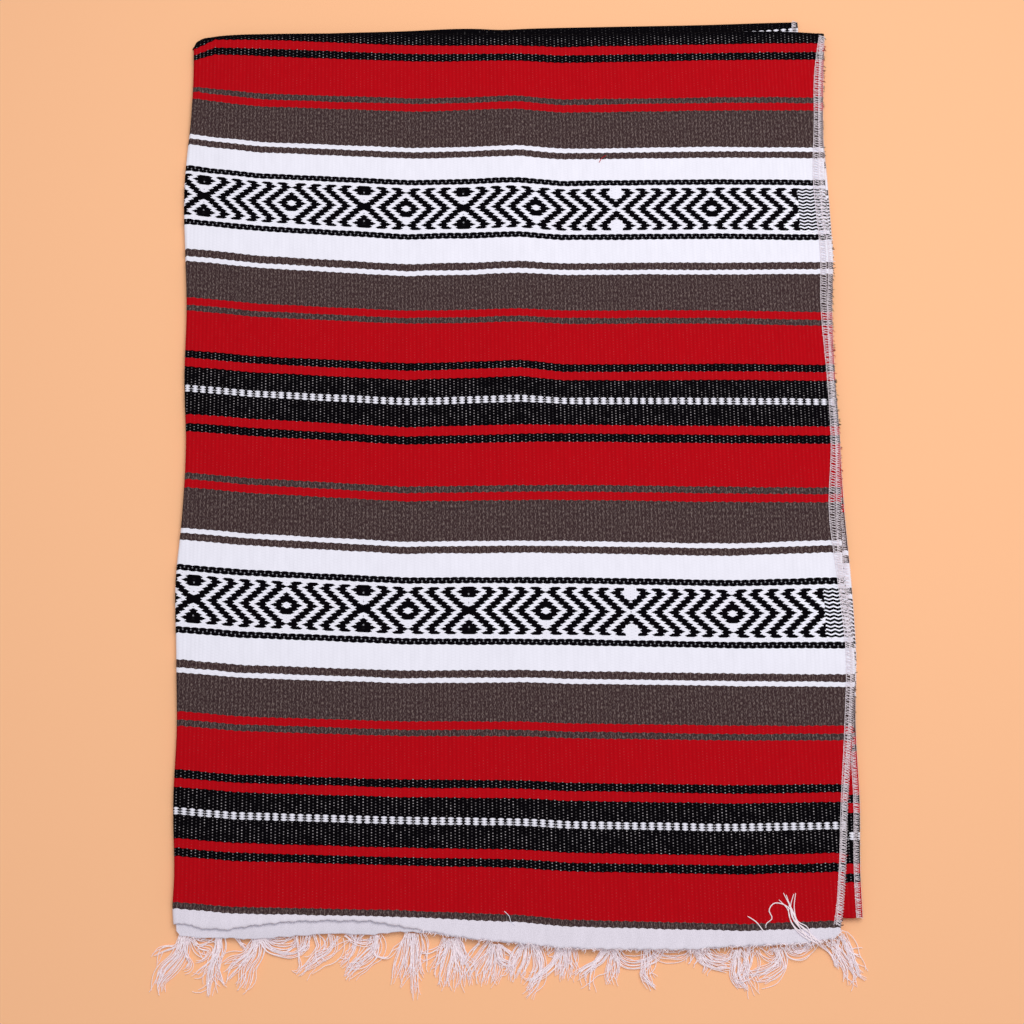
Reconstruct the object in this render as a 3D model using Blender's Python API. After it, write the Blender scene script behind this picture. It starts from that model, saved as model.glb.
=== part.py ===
"""A mexican serape, folded in quarters and laid flat.

The blanket is one weft-faced cloth, about 1.50 m wide and 2.13 m long, with serged sides, a woven white heading
at each end and a fringe of warp ends. It is folded once across its length and once down its middle, so that four
layers lie on each other: the front quarter, whose wall turns down round both folds, and three hidden quarters that
share one solid, stepped where the layers' edges show. X runs to the right across the folded cloth, Y away from
the fringed end and Z up, in metres.
"""

import math
import random
from collections import namedtuple

import bmesh
import bpy
import numpy as np

CLOTH = 0.0024  # thickness of the woven cloth
GAP = 0.0003  # clearance between pieces that touch
PILE = 3 * CLOTH  # height of the three hidden layers
TOP = PILE + CLOTH + 0.00035  # height of the front quarter's upper face

FOLD_HEIGHT = 0.0087  # the pile is lower along its left fold, where the cloth rounds over
FOLD_RADIUS = FOLD_HEIGHT / 2
FOLD_SLOPE = 0.050  # width of the slope between the left fold and the full height
LIP = 0.012  # how far the front quarter turns in under the pile at the left fold
TOP_RADIUS = 0.0027  # outer radius of the front quarter's upper fold
TOP_FOLD_LOW = 2 * CLOTH + 0.0004  # the front quarter's upper fold ends just above the lower two layers

HEADING = 0.022  # width of the woven white heading along the hem
TOP_BORDER = 0.024  # width of the strip beside the upper fold whose stations keep their distance from it

SERGED = 0.0077  # width of the overlocked edge
SERGED_LIFT = 0.0005  # how much thicker than the cloth it is

STRIP_DEPTH = 0.0020  # the fringe's root strip, a bar along the hem
STRIP_LOW = 0.0052
STRIP_HIGH = 0.0068
STRIP_LEFT = -0.3550
STRIP_RIGHT = 0.3450
STRAND = 0.0013  # width of a strand of warp yarn
STRAND_PITCH = 0.0026  # spacing of the strands at their roots
STRAND_REST = 0.0012  # height of a strand's middle where it lies along the floor
TUFT_BLOCK = (0.3140, 0.3235, 0.0080, 0.0096)  # left, right, low and high of the turned-up tuft's root

# One row for each section across the folded cloth: where it lies, and where each edge is in it.
Section = namedtuple("Section", "y fold front_edge upper_edge lower_edge")
SECTIONS = [
    Section(-0.460, -0.3600, 0.3490, 0.3744, 0.3722),
    Section(-0.440, -0.3630, 0.3517, 0.3745, 0.3723),
    Section(-0.400, -0.3634, 0.3562, 0.3742, 0.3720),
    Section(-0.320, -0.3680, 0.3635, 0.3773, 0.3750),
    Section(-0.240, -0.3680, 0.3732, 0.3768, 0.3745),
    Section(-0.160, -0.3726, 0.3786, 0.3810, 0.3785),
    Section(-0.080, -0.3770, 0.3708, 0.3797, 0.3772),
    Section(0.000, -0.3732, 0.3715, 0.3759, 0.3735),
    Section(0.080, -0.3730, 0.3740, 0.3742, 0.3712),
    Section(0.160, -0.3784, 0.3716, 0.3712, 0.3690),
    Section(0.240, -0.3796, 0.3721, 0.3710, 0.3672),
    Section(0.320, -0.3850, 0.3757, 0.3765, 0.3650),
    Section(0.360, -0.3882, 0.3708, 0.3758, 0.3640),
    Section(0.400, -0.3893, 0.3711, 0.3746, 0.3620),
    Section(0.480, -0.3857, 0.3720, 0.3712, 0.3570),
    Section(0.540, -0.3850, 0.3752, 0.3712, 0.3510),
    Section(0.592, -0.3873, 0.3785, 0.3690, 0.3481),
]

# One row for each place along the top: the front quarter's fold, the layer inside it and the lower layers' fold.
TopFold = namedtuple("TopFold", "x front inner back")
TOP_FOLDS = [
    TopFold(-0.3873, 0.5737, 0.5600, 0.5590),
    TopFold(-0.3841, 0.5810, 0.5650, 0.5640),
    TopFold(-0.3782, 0.5857, 0.5755, 0.5735),
    TopFold(-0.3638, 0.5890, 0.5836, 0.5820),
    TopFold(-0.3360, 0.5917, 0.5880, 0.5875),
    TopFold(-0.3000, 0.5932, 0.5898, 0.5915),
    TopFold(-0.2572, 0.5943, 0.5910, 0.5940),
    TopFold(-0.1360, 0.5952, 0.5919, 0.5977),
    TopFold(-0.0146, 0.5945, 0.5912, 0.6010),
    TopFold(0.1069, 0.5932, 0.5899, 0.6043),
    TopFold(0.2285, 0.5930, 0.5897, 0.6070),
    TopFold(0.3464, 0.5930, 0.5897, 0.6097),
    TopFold(0.3785, 0.5930, 0.5897, 0.6100),
]

# One row for each place along the hem: the front quarter's edge and the edge of the layers under it.
Hem = namedtuple("Hem", "x front under")
HEMS = [
    Hem(-0.3630, -0.4495, -0.4520),
    Hem(-0.3530, -0.4485, -0.4612),
    Hem(-0.3320, -0.4535, -0.4635),
    Hem(-0.3050, -0.4552, -0.4637),
    Hem(-0.2784, -0.4510, -0.4652),
    Hem(-0.2365, -0.4465, -0.4622),
    Hem(-0.1940, -0.4455, -0.4590),
    Hem(-0.1510, -0.4460, -0.4605),
    Hem(-0.1190, -0.4515, -0.4572),
    Hem(-0.0872, -0.4573, -0.4586),
    Hem(-0.0446, -0.4642, -0.4650),
    Hem(0.0191, -0.4698, -0.4706),
    Hem(0.0509, -0.4734, -0.4742),
    Hem(0.0934, -0.4749, -0.4757),
    Hem(0.1890, -0.4754, -0.4762),
    Hem(0.2314, -0.4722, -0.4730),
    Hem(0.3058, -0.4692, -0.4700),
    Hem(0.3273, -0.4650, -0.4658),
    Hem(0.3467, -0.4590, -0.4596),
    Hem(0.3498, -0.4560, -0.4520),
    Hem(0.3528, -0.4530, -0.4430),
    Hem(0.3800, -0.4530, -0.4430),
]

# One row for each soft ridge in the front quarter: its two ends, its half width and its height.
Ridge = namedtuple("Ridge", "x0 y0 x1 y1 half_width height")
RIDGES = [
    Ridge(-0.010, 0.550, 0.004, 0.130, 0.030, 0.0020),
    Ridge(-0.075, 0.340, -0.120, 0.215, 0.022, 0.0012),
    Ridge(0.160, 0.310, 0.175, 0.225, 0.020, 0.0009),
    Ridge(-0.085, -0.050, 0.020, -0.170, 0.028, 0.0013),
    Ridge(0.125, -0.330, 0.150, -0.465, 0.075, 0.0012),
    Ridge(-0.345, -0.450, -0.115, -0.446, 0.009, 0.0014),
    Ridge(0.300, 0.560, 0.330, 0.430, 0.030, 0.0008),
]

# One row for each lock of the fringe: root, tip, sideways bow, number of strands and their spread at the tip.
Lock = namedtuple("Lock", "root_x tip_x tip_y bow strands spread")
LOCKS = [
    Lock(-0.345, -0.370, -0.519, -0.004, 7, 0.026),
    Lock(-0.328, -0.340, -0.506, -0.002, 4, 0.009),
    Lock(-0.311, -0.319, -0.523, 0.003, 7, 0.022),
    Lock(-0.288, -0.297, -0.503, 0.002, 4, 0.010),
    Lock(-0.267, -0.281, -0.516, 0.003, 7, 0.017),
    Lock(-0.240, -0.250, -0.498, 0.001, 5, 0.014),
    Lock(-0.216, -0.224, -0.502, 0.002, 6, 0.016),
    Lock(-0.187, -0.204, -0.504, 0.003, 5, 0.012),
    Lock(-0.153, -0.169, -0.500, 0.003, 7, 0.019),
    Lock(-0.109, -0.108, -0.524, -0.001, 8, 0.034),
    Lock(-0.064, -0.069, -0.514, 0.001, 8, 0.026),
    Lock(-0.026, -0.028, -0.511, 0.001, 10, 0.034),
    Lock(0.010, 0.006, -0.516, 0.001, 7, 0.020),
    Lock(0.038, 0.033, -0.502, 0.001, 5, 0.012),
    Lock(0.059, 0.055, -0.511, 0.000, 6, 0.016),
    Lock(0.088, 0.078, -0.512, 0.003, 6, 0.018),
    Lock(0.111, 0.107, -0.511, 0.001, 5, 0.012),
    Lock(0.141, 0.151, -0.515, -0.003, 6, 0.014),
    Lock(0.194, 0.203, -0.499, -0.003, 6, 0.022),
    Lock(0.239, 0.250, -0.523, -0.002, 8, 0.026),
    Lock(0.284, 0.279, -0.500, 0.003, 5, 0.016),
    Lock(0.330, 0.352, -0.515, -0.003, 8, 0.036),
]

# One row for each strand of the tuft that is turned up over the hem: where its bend and its tip are.
TuftStrand = namedtuple("TuftStrand", "bend_x tip_x tip_y")
TUFT = [
    TuftStrand(0.3085, 0.2900, -0.4300),
    TuftStrand(0.3115, 0.2940, -0.4180),
    TuftStrand(0.3145, 0.2985, -0.4240),
    TuftStrand(0.3175, 0.3030, -0.4170),
]


def clear_scene():
    """Removes every object, so that the model starts from nothing."""
    for item in list(bpy.data.objects):
        bpy.data.objects.remove(item, do_unlink=True)


def straight(rows, key, column, at):
    """Reads a table's column at a place, on the straight line between its rows."""
    return float(np.interp(at, [getattr(row, key) for row in rows], [getattr(row, column) for row in rows]))


def smooth(rows, key, column, at):
    """Reads a table's column at a place, on a smooth curve through its rows."""
    places = [getattr(row, key) for row in rows]
    values = [getattr(row, column) for row in rows]
    slopes = np.gradient(values, places)
    after = min(max(int(np.searchsorted(places, at)), 1), len(places) - 1)
    before = after - 1
    span = places[after] - places[before]
    t = min(max((at - places[before]) / span, 0.0), 1.0)
    start = values[before] * (1 + 2 * t) * (1 - t) ** 2 + slopes[before] * span * t * (1 - t) ** 2
    return float(start + values[after] * t * t * (3 - 2 * t) - slopes[after] * span * t * t * (1 - t))


def relief(x, y):
    """Height that the soft ridges give the front quarter at a place."""
    height = 0.0
    for ridge in RIDGES:
        run = np.array((ridge.x1 - ridge.x0, ridge.y1 - ridge.y0))
        from_start = np.array((x - ridge.x0, y - ridge.y0))
        along = min(max(float(from_start @ run / (run @ run)), 0.0), 1.0)
        away = float(np.linalg.norm(from_start - along * run))
        height += ridge.height * math.exp(-((away / ridge.half_width) ** 2))
    return height


def material(name, colour, roughness):
    """A plain woven-yarn finish."""
    finish = bpy.data.materials.new(name)
    finish.use_nodes = True
    shader = finish.node_tree.nodes["Principled BSDF"]
    shader.inputs["Base Color"].default_value = (*colour, 1.0)
    shader.inputs["Roughness"].default_value = roughness
    shader.inputs["Metallic"].default_value = 0.0
    return finish


def add_object(name, mesh_data, finish):
    """Turns a bmesh into a named object with its finish."""
    mesh = bpy.data.meshes.new(name)
    mesh_data.to_mesh(mesh)
    mesh_data.free()
    mesh.materials.append(finish)
    mesh.shade_smooth()
    mesh.set_sharp_from_angle(angle=math.radians(40))
    item = bpy.data.objects.new(name, mesh)
    bpy.context.scene.collection.objects.link(item)
    return item


# Places of the upright lines of the front quarter's wall, at the bends of the hem and between the far ones.
FRONT_COLUMNS = sorted([row.x for row in HEMS if -0.31 < row.x < 0.33] + [-0.0127, 0.1400, 0.2680])


def across_stations():
    """Stations across the front quarter: (side they are measured from, inset, drop from the top, lift)."""
    stations = [("left", LIP, FOLD_HEIGHT, 0.0), ("left", FOLD_RADIUS + 0.0015, FOLD_HEIGHT, 0.0)]
    for degrees in (-75, -45, -15, 15, 45, 75):
        angle = math.radians(degrees)
        inset = FOLD_RADIUS * (1 - math.cos(angle))
        stations.append(("left", inset, FOLD_RADIUS * (1 - math.sin(angle)), 0.0))
    stations += [("left", inset, 0.0, 0.0) for inset in (0.009, 0.020, 0.034, FOLD_SLOPE)]
    stations += [("at", x, 0.0, 0.0) for x in FRONT_COLUMNS]
    stations += [
        ("right", SERGED + 0.0120, 0.0, 0.0),
        ("right", SERGED + 0.0015, 0.0, 0.0),
        ("right", SERGED, 0.0, SERGED_LIFT),
        ("right", 0.0009, 0.0, SERGED_LIFT),
        ("right", 0.0, 0.00045, SERGED_LIFT),
    ]
    return stations


def along_stations():
    """Stations up the front quarter: (side they are measured from, inset, drop from the top)."""
    stations = [("hem", 0.0, 0.0004), ("hem", 0.0009, 0.0), ("hem", 0.009, 0.0), ("hem", HEADING, 0.0)]
    stations += [("middle", share, 0.0) for share in np.linspace(0, 1, 27)[1:-1]]
    stations += [("top", TOP_BORDER, 0.0), ("top", 0.010, 0.0), ("top", TOP_RADIUS, 0.0)]
    for degrees in (60, 30, 0):
        angle = math.radians(degrees)
        inset = TOP_RADIUS * (1 - math.cos(angle))
        stations.append(("top", inset, TOP_RADIUS * (1 - math.sin(angle))))
    stations.append(("top", 0.0, TOP - TOP_FOLD_LOW))
    return stations


def front_place(across, along):
    """The place and height of one point of the front quarter's outer face."""
    side_x, inset_x, drop_x, lift = across
    side_y, inset_y, drop_y = along
    x, y = 0.0, 0.0
    for _ in range(6):
        left = smooth(SECTIONS, "y", "fold", y)
        right = smooth(SECTIONS, "y", "front_edge", y)
        x = {"left": left + inset_x, "right": right - inset_x, "at": inset_x}[side_x]
        hem = straight(HEMS, "x", "front", x)
        top = smooth(TOP_FOLDS, "x", "front", x)
        inner = hem + HEADING + (top - TOP_BORDER - hem - HEADING) * inset_y
        y = {"hem": hem + inset_y, "top": top - inset_y, "middle": inner}[side_y]
    rise = min(max((x - left - FOLD_RADIUS) / (FOLD_SLOPE - FOLD_RADIUS), 0.0), 1.0)
    crest = FOLD_HEIGHT + (TOP - FOLD_HEIGHT) * rise
    flat = drop_x == 0.0 or side_x == "right"
    body = crest + (relief(x, y) * rise if flat else 0.0)
    height = body * (1 - drop_x / body) * (1 - drop_y / body) + lift
    return x, y, max(height, 0.0)


def front_quarter(finish):
    """The quarter that shows: one cloth wall, turned down round the left fold and the upper fold."""
    mesh_data = bmesh.new()
    columns = across_stations()
    rows = along_stations()
    grid = [[mesh_data.verts.new(front_place(column, row)) for column in columns] for row in rows]
    for low, high in zip(grid, grid[1:]):
        for i in range(len(columns) - 1):
            mesh_data.faces.new((low[i], low[i + 1], high[i + 1], high[i]))
    item = add_object("front_quarter", mesh_data, finish)
    wall = item.modifiers.new("cloth wall", "SOLIDIFY")
    wall.thickness = CLOTH
    wall.offset = -1.0
    wall.use_even_offset = False
    return item


# One row for each level of the hidden layers: height, which edges it follows, and how far inside them it lies.
Level = namedtuple("Level", "z layer left right top hem")
LEVELS = [
    Level(0.0000, "lower", LIP + 0.0014, 0.0010, 0.0020, 0.0024),
    Level(0.0007, "lower", LIP + 0.0006, 0.0002, 0.0008, 0.0017),
    Level(0.0018, "lower", LIP + 0.0006, 0.0002, 0.0001, 0.0017),
    Level(0.0024, "lower", LIP + 0.0006, 0.0012, 0.0000, 0.0027),
    Level(0.0028, "lower", LIP + 0.0006, 0.0012, 0.0000, 0.0027),
    Level(0.0029, "lower", 0.0049, 0.0009, 0.0001, 0.0024),
    Level(0.0034, "lower", 0.0034, 0.0000, 0.0003, 0.0015),
    Level(0.0043, "lower", 0.0030, 0.0000, 0.0010, 0.0015),
    Level(0.0048, "lower", 0.0030, 0.0012, 0.0024, 0.0020),
    Level(0.0049, "upper", 0.0030, 0.0012, 0.0004, 0.0010),
    Level(0.0053, "upper", 0.0034, 0.0002, 0.0000, 0.0000),
    Level(0.0059, "upper", 0.0048, 0.0000, 0.0000, 0.0000),
    Level(0.0067, "upper", 0.0340, 0.0002, 0.0001, 0.0002),
    Level(0.0072, "upper", 0.0530, 0.0012, 0.0010, 0.0012),
]


def ring(level):
    """The outline of the hidden layers at one level, as a loop of places."""
    edge_column = "lower_edge" if level.layer == "lower" else "upper_edge"
    top_column = "back" if level.layer == "lower" else "inner"

    def left(y):
        return smooth(SECTIONS, "y", "fold", y) + level.left

    def right(y):
        return smooth(SECTIONS, "y", edge_column, y) - level.right

    def top(x):
        return smooth(TOP_FOLDS, "x", top_column, x) - level.top

    def hem(x):
        return straight(HEMS, "x", "under", x) + level.hem

    low_left = left(HEMS[0].under)
    low_right = right(HEMS[-1].under)
    stations = [hem_row.x for hem_row in HEMS[1:-1]]
    low_x = [low_left] + [max(x, low_left + 0.0012 * (i + 1)) for i, x in enumerate(stations)] + [low_right]
    high_left = left(TOP_FOLDS[1].inner)
    high_right = right(TOP_FOLDS[-1].front)
    places = [(x, hem(x)) for x in low_x]
    low_y = hem(low_right)
    high_y = top(high_right)
    places += [(right(y), y) for y in np.linspace(low_y, high_y, 22)[1:-1]]
    places += [(x, top(x)) for x in np.linspace(high_right, high_left, 16)]
    low_y = hem(low_left)
    high_y = top(high_left)
    places += [(left(y), y) for y in np.linspace(high_y, low_y, 20)[1:-1]]
    return places


def under_quarters(finish):
    """The three hidden quarters as one rounded solid, stepped like layers at its edges and flat underneath."""
    mesh_data = bmesh.new()
    rings = [[mesh_data.verts.new((x, y, level.z)) for x, y in ring(level)] for level in LEVELS]
    count = len(rings[0])
    for low, high in zip(rings, rings[1:]):
        for i in range(count):
            j = (i + 1) % count
            mesh_data.faces.new((low[i], low[j], high[j], high[i]))
    mesh_data.faces.new(list(reversed(rings[0])))
    mesh_data.faces.new(rings[-1])
    bmesh.ops.triangulate(mesh_data, faces=[face for face in mesh_data.faces if len(face.verts) > 4])
    return add_object("under_quarters", mesh_data, finish)


def grow_strand(mesh_data, root, path, width):
    """Grows a four-sided strand from a root face's corners along a path, and closes its tip."""
    previous = root
    for i, place in enumerate(path):
        ahead = path[min(i + 1, len(path) - 1)] - path[max(i - 1, 0)]
        ahead = ahead / np.linalg.norm(ahead)
        side = np.cross(ahead, (0.0, 0.0, 1.0))
        if np.linalg.norm(side) < 0.2:
            side = np.array((-1.0, 0.0, 0.0))
        side = -side / np.linalg.norm(side)
        up = np.cross(ahead, -side)
        up = up if up[2] > 0 or abs(ahead[2]) > 0.9 else -up
        half = 0.5 * width * (0.75 if i == len(path) - 1 else 1.0)
        corners = [(-1, -1), (1, -1), (1, 1), (-1, 1)]
        current = [mesh_data.verts.new(place + half * (a * side + b * up)) for a, b in corners]
        for k in range(4):
            n = (k + 1) % 4
            mesh_data.faces.new((previous[k], previous[n], current[n], current[k]))
        previous = current
    mesh_data.faces.new(previous)


def strand_path(root, tip, bow):
    """A strand's middle line: out from its root, down to the floor and along it to its tip."""
    fall = [(0.06, 0.0054), (0.16, 0.0036), (0.34, 0.0018), (0.66, STRAND_REST), (1.0, STRAND_REST)]
    path = []
    for share, height in fall:
        place = root + (tip - root) * share
        place[0] += bow * math.sin(math.pi * share)
        place[2] = height
        path.append(place)
    return path


def lock_strands():
    """Root and path of every strand of the fringe, from left to right."""
    draw = random.Random(7)
    strands = []
    for lock in LOCKS:
        for k in range(lock.strands):
            share = k / (lock.strands - 1) - 0.5
            root_x = lock.root_x + share * (lock.strands - 1) * STRAND_PITCH
            root_y = straight(HEMS, "x", "under", root_x) - GAP - STRIP_DEPTH
            root = np.array((root_x, root_y, 0.5 * (STRIP_LOW + STRIP_HIGH)))
            reach = np.array((lock.tip_x + share * lock.spread, lock.tip_y, STRAND_REST)) - root
            tip = root + reach * draw.uniform(0.84, 1.0)
            strands.append((root_x, strand_path(root, tip, lock.bow)))
    return strands


def fringe(finish):
    """The warp ends: a narrow strip along the hem, with every strand grown from its front face."""
    mesh_data = bmesh.new()
    strands = lock_strands()
    cuts = {STRIP_LEFT: None, STRIP_RIGHT: None}
    for hem_row in HEMS:
        near = min(abs(hem_row.x - root_x) for root_x, _ in strands)
        if STRIP_LEFT < hem_row.x < STRIP_RIGHT and near > 0.5 * STRAND + 0.0002:
            cuts[hem_row.x] = None
    for root_x, path in strands:
        cuts[root_x - 0.5 * STRAND] = path
        cuts[root_x + 0.5 * STRAND] = None
    places = sorted(cuts)
    columns = []
    for x in places:
        back = straight(HEMS, "x", "under", x) - GAP - 0.0001
        front = back - STRIP_DEPTH
        corners = [(x, front, STRIP_LOW), (x, front, STRIP_HIGH), (x, back, STRIP_HIGH), (x, back, STRIP_LOW)]
        columns.append([mesh_data.verts.new(corner) for corner in corners])
    for x, here, ahead in zip(places, columns, columns[1:]):
        for k in range(1, 4):
            n = (k + 1) % 4
            mesh_data.faces.new((here[k], ahead[k], ahead[n], here[n]))
        root = (here[0], ahead[0], ahead[1], here[1])
        if cuts[x] is None:
            mesh_data.faces.new(root)
        else:
            grow_strand(mesh_data, root, cuts[x], STRAND)
    mesh_data.faces.new(columns[0])
    mesh_data.faces.new(list(reversed(columns[-1])))
    return add_object("fringe", mesh_data, finish)


def turned_up_tuft(finish):
    """The tuft that is turned up over the hem near its right end, with its own short root block."""
    mesh_data = bmesh.new()
    left, right, low, high = TUFT_BLOCK
    pitch = (right - left) / len(TUFT)
    places = []
    for k in range(len(TUFT)):
        middle = left + pitch * (k + 0.5)
        places += [middle - 0.5 * STRAND, middle + 0.5 * STRAND]
    places = [left] + places + [right]
    columns = []
    for x in places:
        back = straight(HEMS, "x", "front", x) - GAP - 0.0002
        front = back - STRAND
        corners = [(x, front, high), (x, back, high), (x, back, low), (x, front, low)]
        columns.append([mesh_data.verts.new(corner) for corner in corners])
    rest = TOP + 0.0022
    for i, (here, ahead) in enumerate(zip(columns, columns[1:])):
        for k in range(1, 4):
            n = (k + 1) % 4
            mesh_data.faces.new((here[k], ahead[k], ahead[n], here[n]))
        root = (here[0], ahead[0], ahead[1], here[1])
        if i % 2 == 0:
            mesh_data.faces.new(root)
            continue
        strand = TUFT[i // 2]
        middle = 0.5 * (here[0].co.x + ahead[0].co.x)
        start = here[0].co.y + 0.5 * STRAND
        path = [
            (middle, start, high + 0.0006),
            (middle - 0.0010, start + 0.0030, rest),
            (strand.bend_x, start + 0.0130, rest),
            (strand.bend_x - 0.0060, start + 0.0300, rest),
            (strand.tip_x, strand.tip_y, rest),
        ]
        grow_strand(mesh_data, root, [np.array(place) for place in path], STRAND * 0.9)
    mesh_data.faces.new(columns[0])
    mesh_data.faces.new(list(reversed(columns[-1])))
    return add_object("turned_up_tuft", mesh_data, finish)


def stand_on_origin(items):
    """Moves every mesh so that the footprint's middle is at the origin and the underside at zero height."""
    graph = bpy.context.evaluated_depsgraph_get()
    points = []
    for item in items:
        mesh = item.evaluated_get(graph).to_mesh()
        points += [vertex.co.copy() for vertex in mesh.vertices]
    low = np.min(points, axis=0)
    high = np.max(points, axis=0)
    for item in items:
        for vertex in item.data.vertices:
            vertex.co.x -= 0.5 * (low[0] + high[0])
            vertex.co.y -= 0.5 * (low[1] + high[1])
            vertex.co.z -= low[2]


clear_scene()
striped_cloth = material("striped cloth", (0.42, 0.008, 0.012), 0.85)
hidden_cloth = material("hidden cloth", (0.30, 0.012, 0.015), 0.88)
warp_yarn = material("white warp yarn", (0.78, 0.77, 0.82), 0.9)
pieces = [front_quarter(striped_cloth), under_quarters(hidden_cloth), fringe(warp_yarn), turned_up_tuft(warp_yarn)]
stand_on_origin(pieces)
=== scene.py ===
"""Looks of a striped serape folded in quarters: its woven cloth, serged sides, white heading and warp fringe."""

import math
import random
from collections import namedtuple

import bpy
import numpy as np
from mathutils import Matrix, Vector


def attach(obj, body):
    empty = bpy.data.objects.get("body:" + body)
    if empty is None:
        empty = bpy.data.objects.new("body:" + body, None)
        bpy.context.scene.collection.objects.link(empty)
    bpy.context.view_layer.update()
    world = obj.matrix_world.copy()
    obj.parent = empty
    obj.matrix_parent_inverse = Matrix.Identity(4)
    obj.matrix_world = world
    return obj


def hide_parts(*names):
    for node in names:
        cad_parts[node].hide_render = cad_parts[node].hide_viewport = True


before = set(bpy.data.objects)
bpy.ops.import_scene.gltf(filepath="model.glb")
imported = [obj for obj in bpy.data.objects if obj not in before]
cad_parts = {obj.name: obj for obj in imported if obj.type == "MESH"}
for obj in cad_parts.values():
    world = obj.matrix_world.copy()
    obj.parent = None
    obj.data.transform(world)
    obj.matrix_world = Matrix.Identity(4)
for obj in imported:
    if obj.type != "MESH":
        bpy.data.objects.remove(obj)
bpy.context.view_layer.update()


# The camera looks down from 1.69 m, 12.3 degrees off upright and over the fringed end, like the photograph's.
# Every place below is measured from the photograph's middle, and MIDDLE is that point in the part's frame.
MIDDLE = (0.00401, -0.04354)
CAMERA_TILT = math.radians(12.33)
CAMERA_AWAY = 1.693
CAMERA_AIM_HEIGHT = 0.010
FRAME_WIDTH = 36.0
LENS = FRAME_WIDTH * 1500 / 1024



def put(name, data):
    """Adds an object to the scene."""
    added = bpy.data.objects.new(name, data)
    bpy.context.scene.collection.objects.link(added)
    return added


camera = put("camera", bpy.data.cameras.new("camera"))
camera.data.sensor_width = FRAME_WIDTH
camera.data.lens = LENS
camera.location = (
    MIDDLE[0],
    MIDDLE[1] - CAMERA_AWAY * math.sin(CAMERA_TILT),
    CAMERA_AIM_HEIGHT + CAMERA_AWAY * math.cos(CAMERA_TILT),
)
camera.rotation_euler = (CAMERA_TILT, 0.0, 0.0)
bpy.context.scene.camera = camera
bpy.context.scene.view_settings.view_transform = "Standard"


# The front quarter: weft-faced acrylic cloth on cotton warps, 2.4 mm thick, turned down round the left fold and
# the upper fold. Its ribs run along the warps; its right side is an overlocked border and its hem a white heading.
CLOTH = 0.0024
TOP = 0.00995
FOLD_HEIGHT = 0.0087
FOLD_RADIUS = FOLD_HEIGHT / 2
FOLD_SLOPE = 0.050
LIP = 0.012
TOP_RADIUS = 0.0027
TOP_FOLD_LOW = 0.0052
HEADING = 0.022
TOP_BORDER = 0.024
SERGED = 0.0077
SERGED_LIFT = 0.0005
PINLESS = 0.0085  # how far below the upper fold the warp's pinpoints close up
RIB = 0.004512  # spacing of the warps, each of which makes one rib
RIB_HEIGHT = 0.00010
RIBS_LEAN = 0.0197  # how far the ribs lean to the left for each metre up the cloth
FIRST_INNER_RIB = 2
LAST_INNER_RIB = 148
NEAR_FOLD = 0.0060  # past here the mesh's columns begin to turn from the fold's line to the ribs'
SLOPE_COLUMNS = 13
EDGE_COLUMNS = 45
HEIGHT_ROWS = 109
ROUNDS = 7

# Where the cloth's edges are, section by section: the left fold, the front's right edge, the two under it and the
# needle line of the front's serging.
Section = namedtuple("Section", "y fold front_edge upper_edge lower_edge needle")
SECTIONS = [
    Section(-0.460, -0.3600, 0.3490, 0.3744, 0.3722, 0.3400),
    Section(-0.440, -0.3630, 0.3517, 0.3745, 0.3723, 0.3448),
    Section(-0.400, -0.3634, 0.3562, 0.3742, 0.3720, 0.3500),
    Section(-0.320, -0.3680, 0.3635, 0.3773, 0.3750, 0.3564),
    Section(-0.240, -0.3680, 0.3732, 0.3768, 0.3745, 0.3640),
    Section(-0.160, -0.3726, 0.3786, 0.3810, 0.3785, 0.3692),
    Section(-0.080, -0.3770, 0.3708, 0.3797, 0.3772, 0.3640),
    Section(0.000, -0.3732, 0.3715, 0.3759, 0.3735, 0.3579),
    Section(0.080, -0.3730, 0.3740, 0.3742, 0.3712, 0.3637),
    Section(0.160, -0.3784, 0.3716, 0.3712, 0.3690, 0.3627),
    Section(0.240, -0.3796, 0.3721, 0.3710, 0.3672, 0.3593),
    Section(0.320, -0.3850, 0.3757, 0.3765, 0.3650, 0.3615),
    Section(0.360, -0.3882, 0.3708, 0.3758, 0.3640, 0.3590),
    Section(0.400, -0.3893, 0.3711, 0.3746, 0.3620, 0.3572),
    Section(0.480, -0.3857, 0.3720, 0.3712, 0.3570, 0.3615),
    Section(0.540, -0.3850, 0.3752, 0.3712, 0.3510, 0.3645),
    Section(0.592, -0.3873, 0.3785, 0.3690, 0.3481, 0.3725),
]
# Where the folds along the top are: the front quarter's, the layer's inside it and the lower layers'.
TopFold = namedtuple("TopFold", "x front inner back")
TOP_FOLDS = [
    TopFold(-0.3873, 0.5742, 0.5600, 0.5590),
    TopFold(-0.3841, 0.5822, 0.5650, 0.5640),
    TopFold(-0.3782, 0.5874, 0.5755, 0.5735),
    TopFold(-0.3638, 0.5910, 0.5836, 0.5820),
    TopFold(-0.3360, 0.5936, 0.5880, 0.5875),
    TopFold(-0.3000, 0.5948, 0.5898, 0.5925),
    TopFold(-0.2572, 0.5954, 0.5910, 0.5965),
    TopFold(-0.1360, 0.5955, 0.5919, 0.6012),
    TopFold(-0.0450, 0.5949, 0.5916, 0.6046),
    TopFold(-0.0146, 0.5945, 0.5912, 0.6033),
    TopFold(0.0200, 0.5945, 0.5910, 0.6048),
    TopFold(0.1069, 0.5948, 0.5899, 0.6070),
    TopFold(0.2285, 0.5972, 0.5897, 0.6096),
    TopFold(0.3464, 0.5972, 0.5897, 0.6133),
    TopFold(0.3785, 0.5950, 0.5897, 0.6136),
]
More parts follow.
